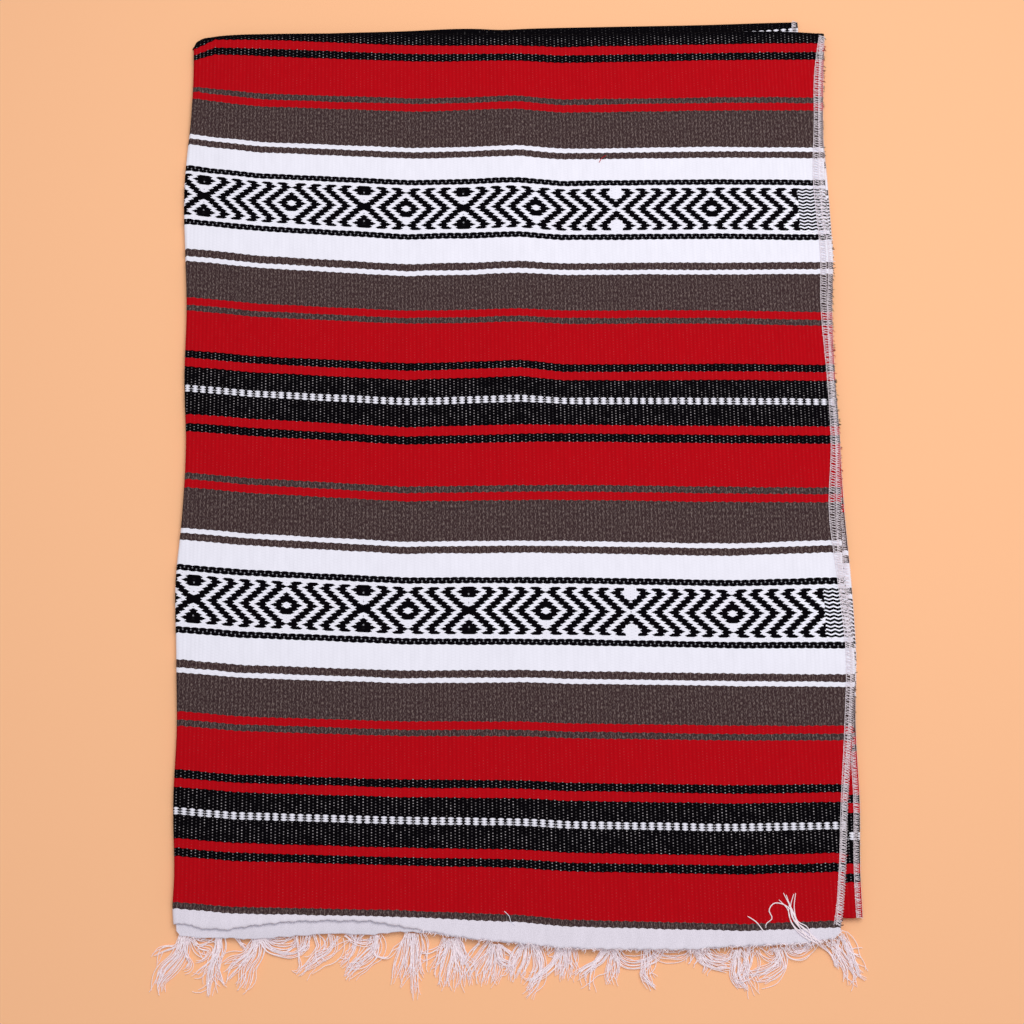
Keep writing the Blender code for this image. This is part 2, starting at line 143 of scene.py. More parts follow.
# Where the hem is: the front quarter's edge and the edge of the layers under it.
Hem = namedtuple("Hem", "x front under")
HEMS = [
    Hem(-0.3630, -0.4495, -0.4520),
    Hem(-0.3530, -0.4485, -0.4612),
    Hem(-0.3320, -0.4535, -0.4635),
    Hem(-0.3050, -0.4552, -0.4637),
    Hem(-0.2784, -0.4510, -0.4652),
    Hem(-0.2365, -0.4465, -0.4622),
    Hem(-0.1940, -0.4455, -0.4590),
    Hem(-0.1510, -0.4460, -0.4605),
    Hem(-0.1190, -0.4515, -0.4572),
    Hem(-0.0872, -0.4573, -0.4586),
    Hem(-0.0446, -0.4642, -0.4650),
    Hem(0.0191, -0.4698, -0.4706),
    Hem(0.0509, -0.4734, -0.4742),
    Hem(0.0934, -0.4749, -0.4757),
    Hem(0.1890, -0.4754, -0.4762),
    Hem(0.2314, -0.4722, -0.4730),
    Hem(0.3058, -0.4692, -0.4700),
    Hem(0.3273, -0.4668, -0.4658),
    Hem(0.3440, -0.4630, -0.4620),
    Hem(0.3498, -0.4575, -0.4520),
    Hem(0.3528, -0.4530, -0.4430),
    Hem(0.3800, -0.4530, -0.4430),
]
# The soft ridges in the cloth: two ends, half width and height.
Ridge = namedtuple("Ridge", "x0 y0 x1 y1 half_width height")
RIDGES = [
    Ridge(-0.010, 0.550, 0.004, 0.130, 0.030, 0.0020),
    Ridge(-0.075, 0.340, -0.120, 0.215, 0.022, 0.0012),
    Ridge(0.160, 0.310, 0.175, 0.225, 0.020, 0.0009),
    Ridge(-0.085, -0.050, 0.020, -0.170, 0.028, 0.0013),
    Ridge(0.125, -0.330, 0.150, -0.465, 0.075, 0.0012),
    Ridge(-0.345, -0.450, -0.115, -0.446, 0.009, 0.0014),
    Ridge(0.300, 0.560, 0.330, 0.430, 0.030, 0.0008),
]


def straight(rows, key, column, at):
    """Reads a table's column on the straight lines between its rows."""
    return np.interp(at, [getattr(row, key) for row in rows], [getattr(row, column) for row in rows])


def curve(places, values, at):
    """Values on a smooth curve whose slope at each place follows from its neighbours."""
    slopes = np.gradient(values, places, axis=0)
    after = np.clip(np.searchsorted(places, at), 1, len(places) - 1)
    before = after - 1
    each = (..., None) if values.ndim == 2 else ...
    span = (places[after] - places[before])[each]
    t = np.clip((at - places[before])[each] / span, 0.0, 1.0)
    start = values[before] * (1 + 2 * t) * (1 - t) ** 2 + slopes[before] * span * t * (1 - t) ** 2
    return start + values[after] * t * t * (3 - 2 * t) - slopes[after] * span * t * t * (1 - t)


def smooth(rows, key, column, at):
    """Reads a table's column on a smooth curve through its rows."""
    places = np.array([getattr(row, key) for row in rows])
    return curve(places, np.array([getattr(row, column) for row in rows]), at)


def uneven(x):
    """How far a hem strays from its line at a place across the cloth."""
    return 0.0005 * np.sin(310 * x + 2.0 * np.sin(47 * x)) + 0.0004 * np.sin(733 * x + 1.3 * np.sin(91 * x))


def relief(x, y):
    """Height that the soft ridges and the cloth's own unevenness give it at a place."""
    height = np.zeros_like(x)
    for ridge in RIDGES:
        run_x, run_y = ridge.x1 - ridge.x0, ridge.y1 - ridge.y0
        along = ((x - ridge.x0) * run_x + (y - ridge.y0) * run_y) / (run_x**2 + run_y**2)
        along = np.clip(along, 0.0, 1.0)
        away = np.hypot(x - ridge.x0 - along * run_x, y - ridge.y0 - along * run_y)
        height += ridge.height * np.exp(-((away / ridge.half_width) ** 2))
    height += 0.00012 * np.sin(71 * x + 2.6 * np.sin(9 * y)) * np.sin(38 * y + 1.9 * np.sin(11 * x))
    return height


# Places down the middle of the cloth, in millimetres up from the photograph's middle, beside the same places in the
# even repeat that the weaver counts down from the black stripe in the upper fold: how far the cloth is pulled.
Pull = namedtuple("Pull", "level repeat")
PULLS = [
    Pull(606.7, 0.0),
    Pull(579.7, 27.0),
    Pull(557.7, 47.2),
    Pull(502.6, 102.9),
    Pull(445.6, 157.6),
    Pull(366.9, 238.3),
    Pull(328.5, 276.3),
    Pull(283.6, 319.0),
    Pull(223.6, 381.4),
    Pull(102.1, 503.6),
    Pull(-33.4, 634.2),
    Pull(-75.2, 676.9),
    Pull(-188.8, 790.0),
    Pull(-245.6, 850.3),
    Pull(-392.7, 1000.4),
    Pull(-480.0, 1086.5),
]
# How far the stripes lie above that middle line, in millimetres, at eight places across for each height: they climb
# towards the left fold, and dip and rise a little over the soft ridges.
DRIFT_AT = (-388, -360, -300, -120, 10, 60, 245, 350)
Drift = namedtuple("Drift", "level lifts")
DRIFTS = [
    Drift(580, (-7.5, 7.5, 7, -0.5, -1, -2.5, 1, 2.5)),
    Drift(502, (18, 12.5, 5, -1, 2, -2.5, 0.5, 0)),
    Drift(328, (20, 16.5, 10, -1, 2, -1.5, 0, -1.5)),
    Drift(290, (18.5, 15.5, 8.5, -2.5, 1.5, -0.5, 0, 1)),
    Drift(232, (17.5, 14.5, 8, -1, 1.5, -0.5, -0.5, -3)),
    Drift(166, (18, 14.5, 8.5, -0.5, 3.5, -2, -1, -2)),
    Drift(92, (15, 13, 8, -2.5, 1, 1.5, -0.5, -1)),
    Drift(23, (18, 15, 9, -1, 0.5, 1, -1.5, -2.5)),
    Drift(-40, (18, 15, 9.5, -0.5, 1, 0.5, -2.5, 1.5)),
    Drift(-151, (16.5, 14, 9, 1.5, 0.5, 0.5, -3, -3)),
    Drift(-188, (14.5, 12, 6.5, 0.5, 1.5, 0, -2.5, -3.5)),
    Drift(-383, (16.5, 14, 9, 4, 2, -1.5, -4.5, -1.5)),
    Drift(-446, (18.5, 16, 11, 7.5, 2, -2.5, -7, -3.5)),
]


def ribs_at(x, y):
    """How many ribs a place is from the middle of the first black cross."""
    return (x + 0.362 - RIBS_LEAN * (0.368 - y)) / RIB


def repeat_at(x, y):
    """How many millimetres of the even repeat a place is below the black stripe in the upper fold."""
    heights = np.array([row.level for row in reversed(DRIFTS)])
    lines = np.array([np.interp(1000 * x, DRIFT_AT, row.lifts) for row in reversed(DRIFTS)])
    level = 1000 * np.array(y, dtype=float)
    for _ in range(4):
        after = np.clip(np.searchsorted(heights, level), 1, len(heights) - 1)
        share = np.clip((level - heights[after - 1]) / (heights[after] - heights[after - 1]), 0.0, 1.0)
        place = np.arange(len(level))
        level = 1000 * y - (1 - share) * lines[after - 1, place] - share * lines[after, place]
    return straight(PULLS[::-1], "level", "repeat", level)


def front_columns():
    """Stations across: shares of the fold, right edge and rib lines, offset, drop, lift and turn past the fold."""
    quarter = 0.5 * math.pi * FOLD_RADIUS
    columns = [
        (1, 0, 0, LIP, FOLD_HEIGHT, 0.0, quarter * 2 + LIP - FOLD_RADIUS),
        (1, 0, 0, FOLD_RADIUS + 0.0035, FOLD_HEIGHT, 0.0, quarter * 2 + 0.0035),
        (1, 0, 0, FOLD_RADIUS, FOLD_HEIGHT, 0.0, quarter * 2),
    ]
    for degrees in range(-78, 90, 12):
        angle = math.radians(degrees)
        inset = FOLD_RADIUS * (1 - math.cos(angle))
        drop = FOLD_RADIUS * (1 - math.sin(angle))
        columns.append((1, 0, 0, inset, drop, 0.0, FOLD_RADIUS * (0.5 * math.pi - angle)))
    columns += [(1, 0, 0, FOLD_RADIUS + step, 0.0, 0.0, 0.0) for step in (0.0, 0.0015, 0.0030, 0.0045)]
    for share in np.linspace(0, 1, SLOPE_COLUMNS + 1)[:-1]:
        offset = (1 - share) * (FOLD_RADIUS + NEAR_FOLD) + share * FIRST_INNER_RIB * RIB
        columns.append((1 - share, 0, share, offset, 0.0, 0.0, 0.0))
    for half in range(2 * FIRST_INNER_RIB, 2 * LAST_INNER_RIB):
        columns.append((0, 0, 1, half * RIB / 2, 0.0, 0.0, 0.0))
    for share in np.linspace(0, 1, EDGE_COLUMNS):
        offset = (1 - share) * LAST_INNER_RIB * RIB - share * (SERGED + 0.0012)
        columns.append((0, share, 1 - share, offset, 0.0, 0.0, 0.0))
    columns += [
        (0, 1, 0, -SERGED, 0.0, SERGED_LIFT, 0.0),
        (0, 1, 0, -0.0052, 0.0, SERGED_LIFT, 0.0),
        (0, 1, 0, -0.0028, 0.0, SERGED_LIFT, 0.0),
        (0, 1, 0, -0.0010, 0.0, SERGED_LIFT, 0.0),
        (0, 1, 0, 0.0, 0.00045, SERGED_LIFT, 0.0),
    ]
    return np.array(columns).T


def front_rows():
    """Stations up the cloth: shares of the hem and upper fold lines, offset, drop and turn past the fold."""
    rows = [(1, 0, 0.0, 0.0009, 0.0), (1, 0, 0.0009, 0.0003, 0.0), (1, 0, 0.0020, 0.0, 0.0)]
    rows += [(1, 0, inset, 0.0, 0.0) for inset in (0.003, 0.006, 0.009, 0.013, 0.018)]
    for share in np.linspace(0, 1, HEIGHT_ROWS):
        rows.append((1 - share, share, (1 - share) * HEADING - share * TOP_BORDER, 0.0, 0.0))
    rows += [(0, 1, -inset, 0.0, 0.0) for inset in (0.018, 0.013, 0.009, 0.006, 0.004)]
    for degrees in range(90, -1, -15):
        angle = math.radians(degrees)
        inset = TOP_RADIUS * (1 - math.cos(angle))
        drop = TOP_RADIUS * (1 - math.sin(angle))
        rows.append((0, 1, -inset, drop, TOP_RADIUS * (0.5 * math.pi - angle)))
    drop = TOP - TOP_FOLD_LOW
    rows.append((0, 1, 0.0, drop, drop + TOP_RADIUS * (0.5 * math.pi - 1)))
    return rows


def front_surface(columns, row):
    """Places, heights and thread counts along one row of the front quarter's outer face.

    The edges' places across depend on the height and the hem's height on the place across, so a few rounds settle both.
    """
    fold_share, edge_share, rib_share, offset, drop_x, lift, turn_x = columns
    hem_share, top_share, offset_y, drop_y, turn_y = row
    x = np.zeros_like(offset)
    y = np.zeros_like(offset)
    for _ in range(ROUNDS):
        left = smooth(SECTIONS, "y", "fold", y)
        right = smooth(SECTIONS, "y", "front_edge", y)
        first_rib = -0.362 + RIBS_LEAN * (0.368 - y)
        x = fold_share * left + edge_share * right + rib_share * first_rib + offset
        hem = straight(HEMS, "x", "front", x) + uneven(x)
        top = smooth(TOP_FOLDS, "x", "front", x)
        y = hem_share * hem + top_share * top + offset_y
    rise = np.clip((x - left - FOLD_RADIUS) / (FOLD_SLOPE - FOLD_RADIUS), 0.0, 1.0)
    crest = FOLD_HEIGHT + (TOP - FOLD_HEIGHT) * rise
    body = crest + np.where((drop_x == 0.0) | (edge_share == 1), relief(x, y) * rise, 0.0)
    z = body * (1 - drop_x / body) * (1 - drop_y / body) + lift
    flat_x = np.where(turn_x > 0, left + FOLD_RADIUS, x)
    flat_y = y if turn_y == 0 else top - TOP_RADIUS
    ribs = ribs_at(flat_x, flat_y) - turn_x / RIB
    repeat = repeat_at(flat_x, flat_y) - 1000 * turn_y
    pinless = np.clip((y - top + PINLESS) / 0.004, 0.0, 1.0)
    return x, y, np.maximum(z, 0.00002), ribs, repeat, pinless


def lay_grid(name, surface_rows, closed=False):
    """Makes a mesh from rows of places and thread counts, with the counts in its UV map and on its points."""
    mesh = bpy.data.meshes.new(name)
    count = len(surface_rows[0][0])
    places = np.concatenate([np.stack(row[:3], 1) for row in surface_rows])
    places[:, 0] += MIDDLE[0]
    places[:, 1] += MIDDLE[1]
    threads = np.concatenate([np.stack(row[3:5], 1) for row in surface_rows])
    faces = []
    last = count if closed else count - 1
    for j in range(len(surface_rows) - 1):
        for i in range(last):
            k = (i + 1) % count
            faces.append((j * count + i, j * count + k, (j + 1) * count + k, (j + 1) * count + i))
    if closed:
        faces.append(tuple(reversed(range(count))))
        faces.append(tuple((len(surface_rows) - 1) * count + i for i in range(count)))
    mesh.from_pydata(places.tolist(), [], faces)
    weave = mesh.uv_layers.new(name="threads")
    corners = np.array([loop.vertex_index for loop in mesh.loops])
    weave.data.foreach_set("uv", threads[corners].astype(np.float32).ravel())
    pinless = np.concatenate([row[5] for row in surface_rows])
    for label, values in (("rib", threads[:, 0]), ("pinless", pinless)):
        mesh.attributes.new(label, "FLOAT", "POINT").data.foreach_set("value", values.astype(np.float32))
    mesh.shade_smooth()
    return put(name, mesh)


class Wire:
    """A socket that takes part in sums: each operator adds its Math node, and `node` adds any other node."""

    def __init__(self, tree, socket=None):
        self.tree = tree
        self.socket = socket

    def node(self, kind, settings=None, inputs=None, output=0):
        made = self.tree.nodes.new(kind)
        for name, value in (settings or {}).items():
            if name == "stops":
                ramp = made.color_ramp
                ramp.interpolation = "CONSTANT"
                while len(ramp.elements) < len(value):
                    ramp.elements.new(1.0)
                for element, (position, colour) in zip(ramp.elements, value):
                    element.position = position
                    element.color = colour
            else:
                setattr(made, name, value)
        for key, value in (inputs or {}).items():
            if isinstance(value, Wire):
                value.into(made, key)
            else:
                made.inputs[key].default_value = value
        return Wire(self.tree, made.outputs[output])

    def also(self, output):
        """Another output of the same node."""
        return Wire(self.tree, self.socket.node.outputs[output])

    def into(self, node, key):
        """Links this socket to an input of a node."""
        self.tree.links.new(self.socket, node.inputs[key])

    def math(self, operation, *others):
        return self.node("ShaderNodeMath", {"operation": operation}, dict(enumerate((self, *others))))

    def math_from(self, operation, first):
        return self.node("ShaderNodeMath", {"operation": operation}, {0: first, 1: self})

    def __add__(self, other):
        return self.math("ADD", other)

    def __sub__(self, other):
        return self.math("SUBTRACT", other)

    def __mul__(self, other):
        return self.math("MULTIPLY", other)

    def __truediv__(self, other):
        return self.math("DIVIDE", other)

    def __mod__(self, other):
        return self.math("FLOORED_MODULO", other)

    def __gt__(self, other):
        return self.math("GREATER_THAN", other)

    def __lt__(self, other):
        return self.math("LESS_THAN", other)

    def __abs__(self):
        return self.math("ABSOLUTE")

    def __pow__(self, other):
        return self.math("POWER", other)

    def __rsub__(self, other):
        return self.math_from("SUBTRACT", other)

    def __rtruediv__(self, other):
        return self.math_from("DIVIDE", other)

    __radd__ = __add__
    __rmul__ = __mul__

    def floor(self):
        return self.math("FLOOR")

    def round(self):
        return self.math("ROUND")

    def fold(self, half):
        """Distance along a zigzag that goes up to `half` and back."""
        return self.math("PINGPONG", half)

    def bell(self, width):
        """1 where the value is nought, falling to nearly nothing at 1.5 widths."""
        return ((self / width) ** 2 * -1.0).math("EXPONENT")

    def tint(self, start, end):
        """Mixes two colours by this value."""
        settings = {"data_type": "RGBA", "clamp_factor": True}
        return self.node("ShaderNodeMix", settings, {0: self, 6: start, 7: end}, 2)


def yarn(red, green, blue):
    """A yarn's colour from its screen values."""
    linear = [((c / 255 + 0.055) / 1.055) ** 2.4 if c > 10 else c / 3295 for c in (red, green, blue)]
    return (*linear, 1.0)


RED = yarn(184, 8, 21)
BLACK = yarn(5, 3, 7)
BROWN = yarn(64, 47, 49)
BROWN_LIGHT = yarn(118, 104, 100)
WHITE = yarn(241, 243, 255)
WARP = yarn(245, 240, 244)
HEADING_WHITE = yarn(246, 242, 255)
SHADOW = yarn(150, 148, 168)
# One repeat of stripes from the middle of the black one to the middle of the patterned band, in millimetres.
HALF_REPEAT = 238.3
STRIPES = [
    (0.0, "black"), (27.0, "red"), (38.0, "black"), (47.2, "red"), (95.2, "brown"), (102.9, "red"),
    (112.1, "brown"), (157.6, "white"), (163.2, "brown"), (171.7, "white"),
]  # fmt: skip
HEADING_START = 1056.1
FLOAT = 3.3  # length of rib that one weft float covers, in millimetres
TOOTH = 0.9
BAND_ROW = 4.17  # height of one step of a zigzag
BAND_OFFSET = 0.35
BAND_ROWS = (-6.45, 6.4)
BAND_END_RIB = 155.3  # from here on plain bars take the zigzags' place
CROSSES = (41.5, 67.5, 107.5)  # ribs where the zigzags cross, after the first cross at rib 0
LOZENGES = (22.5, 52.5, 86.5, 132.5)
BAR_HALF = 1.2
CHAIN_AT = 34.5
LINK = (1.18, 2.30)  # half width of a chain link in ribs and half its length
LINK_SHIFT = 1.45
DOT_ROW = 2.8
SEAM_AT = 160.4


def new_finish(name, roughness, specular):
    """A material with its shader and a wire to build on."""
    finish = bpy.data.materials.new(name)
    finish.use_nodes = True
    shader = finish.node_tree.nodes["Principled BSDF"]
    shader.inputs["Roughness"].default_value = roughness
    shader.inputs["Specular IOR Level"].default_value = specular
    return finish, shader, Wire(finish.node_tree)


def band_pattern(rib, across, even):
    """Black zigzags four ribs apart, mirrored at each lozenge and each cross, and a glint in each lens of a cross."""
    level = (across + BAND_OFFSET) / BAND_ROW
    row = level.round()
    off_row = abs(level - row)
    mirrored = abs(rib + 0.5) - 0.5
    hops = zip(CROSSES, LOZENGES, LOZENGES[1:])
    lozenge_at = sum(((rib > cross) * (after - before) for cross, before, after in hops), LOZENGES[0])
    away = abs(mirrored - lozenge_at)
    stepped = row * 0.5 + level * 0.5
    step = 5 - abs(abs(stepped) - 5)
    zigzag = (away + step - 2.4).fold(2.0) < (1.64 - off_row * 2.0).math("MAXIMUM", 0.95)
    bars = abs((level - row) * BAND_ROW + (even - 0.5) * 1.6) < BAR_HALF
    past_end = rib > BAND_END_RIB
    crossing = abs(mirrored + 0.5)
    for cross in CROSSES[:2]:
        crossing = crossing.math("MINIMUM", abs(rib - cross))
    no_tip = (away < 1.2) * (abs(row - 3) < 0.5) + (crossing < 1.3) * (abs(row + 3) < 0.5)
    eye = (crossing < 0.6) * (abs(abs(row) - 5) < 0.5) * 0.995
    eye = eye.math("MAXIMUM", (away < 0.9) * (abs(abs(level) - 1.75) < 0.65))
    open_end = (abs(rib - CROSSES[2]) < 1.5) * (abs(level) > 3.6)
    middle = (crossing < 0.6) * (abs(level) < 0.95)
    pattern = (zigzag * (1 - no_tip) * (1 - open_end)).math("MAXIMUM", eye).math("MAXIMUM", middle)
    pattern = (pattern + (bars - pattern) * past_end) * (level > BAND_ROWS[0]) * (level < BAND_ROWS[1])
    glint = ((crossing / 0.20) ** 2 + ((abs(level) - 4.4) / 0.24) ** 2) < 1
    return pattern, glint


def chain_stitch(rib, across):
    """Two rows of round links beside the band, each set between two of the other, with a spot of light in each."""
    from_even = rib.fold(1.0)
    from_chain = across - across.math("SIGN") * CHAIN_AT
    upper_links = ((from_even / LINK[0]) ** 2 + ((from_chain + LINK_SHIFT) / LINK[1]) ** 2) < 1
    lower_links = (((1 - from_even) / LINK[0]) ** 2 + ((from_chain - LINK_SHIFT) / LINK[1]) ** 2) < 1
    chain = upper_links.math("MAXIMUM", lower_links)
    spot = (((rib - rib.round()) / 0.17) ** 2 + ((from_chain - 0.8 + from_even * 1.6) / 0.90) ** 2) < 1
    return chain, spot


def dotted_line(down, even, chance):
    """The dots in each wide black stripe: stacks of three white floats on every second rib."""
    from_dots = (down + HALF_REPEAT) % (2 * HALF_REPEAT) - HALF_REPEAT + 2.0
    layer = (from_dots / DOT_ROW).round().math("MAXIMUM", -1.0).math("MINIMUM", 1.0)
    off_layer = from_dots - layer * DOT_ROW
    beads = ((even / 0.72) ** 2 + (off_layer / 1.30) ** 2) < 1
    neck = (even < 0.17) * (abs(from_dots) < 3.2)
    joining = (abs(off_layer) < 0.42) * (layer > -0.5) * (chance > 0.45) * 0.38
    return beads.math("MAXIMUM", neck).math("MAXIMUM", joining)


def striped_finish(name, threads):
    """Weft-faced cloth in stripes, drawn thread by thread on the ribs and on the weaver's even repeat."""
    finish, shader, start = new_finish(name, 0.95, 0.05)
    place = start.node("ShaderNodeUVMap", {"uv_map": threads})
    axes = start.node("ShaderNodeSeparateXYZ", inputs={0: place})
    flat = {"noise_dimensions": "2D"}
    grain = start.node("ShaderNodeTexNoise", flat, {"Vector": place, "Scale": 0.11, "Detail": 1.0})
    rib = axes.also("X")
    down = axes.also("Y") + (grain - 0.5) * 1.2

    number = rib.floor()
    off_rib = rib - number - 0.5
    count = down / FLOAT + number % 2 * 0.5
    pick = count.floor()
    off_pick = count - pick - 0.5
    cell = start.node("ShaderNodeCombineXYZ", inputs={0: number, 1: pick})
    chance = start.node("ShaderNodeTexWhiteNoise", flat, {"Vector": cell})

    def fibres(across_scale, down_scale, detail):
        stretched = start.node("ShaderNodeCombineXYZ", inputs={0: rib * across_scale, 1: down * down_scale})
        return start.node("ShaderNodeTexNoise", flat, {"Vector": stretched, "Scale": 1.0, "Detail": detail})

    fibre = fibres(3.1, 0.8, 2.0)
    streak = fibres(4.4, 0.30, 1.0)
    cloud = fibres(0.55, 0.035, 2.0)
    twill = (rib * 2.1 + abs((down / 7.0) % 2 - 1) * 6.0).fold(0.5) * 2
    fine = fibres(5.3, 0.9, 2.0) * 0.3 + twill * 0.7

    # The stripes: each edge is toothed a little, because a colour starts half a float later on every second rib.
    even = (rib - 0.5).fold(1.0)
    toothed = down + (even - 0.5) * TOOTH + (fibre - 0.5) * 0.9
    along_stripes = toothed.fold(HALF_REPEAT) / HALF_REPEAT

    def by_stripe(values):
        stops = [(position / HALF_REPEAT, values[kind]) for position, kind in STRIPES]
        return start.node("ShaderNodeValToRGB", {"stops": stops}, {0: along_stripes})

    def grey(value):
        return (value, value, value, 1.0)

    ground = by_stripe({"black": BLACK, "red": RED, "brown": BROWN, "white": WHITE})
    dots = by_stripe({"black": grey(0.76), "red": grey(0.035), "brown": grey(0.12), "white": grey(0.0)})
    browns = by_stripe({"black": grey(0.0), "red": grey(0.0), "brown": grey(1.0), "white": grey(0.0)})
    # How strong each stripe's painted shade between the floats is; it also sets how much its fibres vary in tone.
    depth = by_stripe({"black": grey(0.30), "red": grey(0.13), "brown": grey(0.26), "white": grey(0.035)})
    ridge = 1 - (off_rib * 2) ** 2
    fleck = ((streak - 0.49) * 6.0).math("MINIMUM", 1.0).math("MAXIMUM", 0.0)
    colour = (fleck * browns * (0.25 + ridge * 0.75)).tint(ground, BROWN_LIGHT)

    # The patterned band, and its glints and the chain stitch's spots, where light shows through.
    across = down % (2 * HALF_REPEAT) - HALF_REPEAT
    in_band = abs(across) < CHAIN_AT + 4
    pattern, glint = band_pattern(rib, across, even)
    chain, spot = chain_stitch(rib, across)
    black = (pattern + chain).math("MINIMUM", 1.0) * in_band
    colour = (black * (1 - spot * chain * 0.28 - glint * 0.30)).tint(colour, BLACK)

    # Pinpoints of warp between the floats: bright on black and faint on the other yarns. On the white band they are
    # grey painted shade, where the floats part.
    pin = (off_rib * RIB * 1000).bell(0.50) * ((0.5 - abs(off_pick)) * FLOAT).bell(0.38)
    closed = start.node("ShaderNodeAttribute", {"attribute_name": "pinless"}, output="Fac")
    bright = pin * dots * (1 - in_band) * (chance**2 * 1.8 + 0.1) * (1 - closed * 0.9)
    colour = bright.tint(colour, WARP)
    # Painted shade: grey dots in the gaps between the band's white floats.
    painted_pin_shade = pin * in_band * (1 - black) * (chance > 0.35) * 0.5
    colour = painted_pin_shade.tint(colour, yarn(60, 56, 80))

    colour = dotted_line(down, even, chance).tint(colour, WHITE)

    # The narrow white stripe has a faint grey zigzag along its middle; below the last stripe the heading is white.
    from_middle = down.fold(HALF_REPEAT) - SEAM_AT
    seam = abs(from_middle + (even - 0.5) * 1.4) < 0.40
    colour = (seam * 0.12).tint(colour, SHADOW)
    heading = toothed > HEADING_START
    colour = heading.tint(colour, HEADING_WHITE)
    depth = depth + (0.26 - depth) * heading

    # Each float is a small pillow with fibres across it: painted shade darkens it at its ends and beside the rib, and
    # darkens the heading's twill lines.
    pillow = ridge * (1 - abs(off_pick * 2) ** 4) * (1 - heading) + heading * fine
    painted_shade_and_tone = 1.0 - depth * (1 - pillow) + (fibre - 0.5) * depth + (cloud - 0.5) * 0.10
    shaded = start.node(
        "ShaderNodeMix",
        {"data_type": "RGBA", "blend_type": "MULTIPLY"},
        {0: 1.0, 6: colour, 7: start.node("ShaderNodeCombineColor", inputs={0: painted_shade_and_tone, 1: painted_shade_and_tone, 2: painted_shade_and_tone})},
        2,
    )
    height = pillow * 0.8 + fibre * 0.2
    bump = start.node("ShaderNodeBump", inputs={"Strength": 0.45, "Distance": 0.0003, "Height": height})
    shaded.into(shader, "Base Color")
    bump.into(shader, "Normal")
    return finish


def geometry_tree(name, numbers, counts=()):
    """Starts a Geometry Nodes tree with inputs for a geometry, some numbers and counts and a finish, as a wire."""
    tree = bpy.data.node_groups.new(name, "GeometryNodeTree")
    tree.interface.new_socket("Geometry", in_out="INPUT", socket_type="NodeSocketGeometry")
    for labels, kind in ((numbers, "Float"), (counts, "Int"), (["Finish"], "Material")):
        for label in labels:
            tree.interface.new_socket(label, in_out="INPUT", socket_type="NodeSocket" + kind)
    tree.interface.new_socket("Geometry", in_out="OUTPUT", socket_type="NodeSocketGeometry")
    return Wire(tree).node("NodeGroupInput", output="Geometry")


def close_tree(made, finish_wire):
    """Ends a tree in real geometry with its finish on it."""
    real = made.node("GeometryNodeRealizeInstances", inputs={0: made})
    dressed = real.node("GeometryNodeSetMaterial", inputs={"Geometry": real, "Material": finish_wire})
    dressed.into(real.tree.nodes.new("NodeGroupOutput"), 0)
    return real.tree


def grow(piece, tree, values):
    """Puts a tree on a piece, sets its named inputs and keeps what it makes as a plain mesh."""
    modifier = piece.modifiers.new(tree.name, "NODES")
    modifier.node_group = tree
    for item in tree.interface.items_tree:
        if item.item_type == "SOCKET" and item.in_out == "INPUT" and item.name in values:
            modifier[item.identifier] = values[item.name]
    graph = bpy.context.evaluated_depsgraph_get()
    mesh = bpy.data.meshes.new_from_object(piece.evaluated_get(graph), depsgraph=graph)
    piece.modifiers.clear()
    mesh.name = piece.name
    piece.data = mesh
    return piece


columns = front_columns()
front_cloth = lay_grid("front_cloth", [front_surface(columns, row) for row in front_rows()])
striped_cloth = striped_finish("striped_cloth", "threads")

given = geometry_tree("ribs", ["Rib height"])
rib_count = given.node("GeometryNodeInputNamedAttribute", {"data_type": "FLOAT"}, {"Name": "rib"})
wave = (rib_count * (2 * math.pi)).math("COSINE") * -1.0 * given.also("Rib height")
normal = given.node("GeometryNodeInputNormal")
push = given.node("ShaderNodeVectorMath", {"operation": "SCALE"}, {0: normal, "Scale": wave})
ribbed = given.node("GeometryNodeSetPosition", inputs={"Geometry": given, "Offset": push})
rib_tree = close_tree(ribbed, given.also("Finish"))

wall = front_cloth.modifiers.new("wall", "SOLIDIFY")
wall.thickness = CLOTH
wall.offset = -1.0
wall.use_even_offset = False
grow(front_cloth, rib_tree, {"Rib height": RIB_HEIGHT, "Finish": striped_cloth})
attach(front_cloth, "root")
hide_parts("front_quarter")


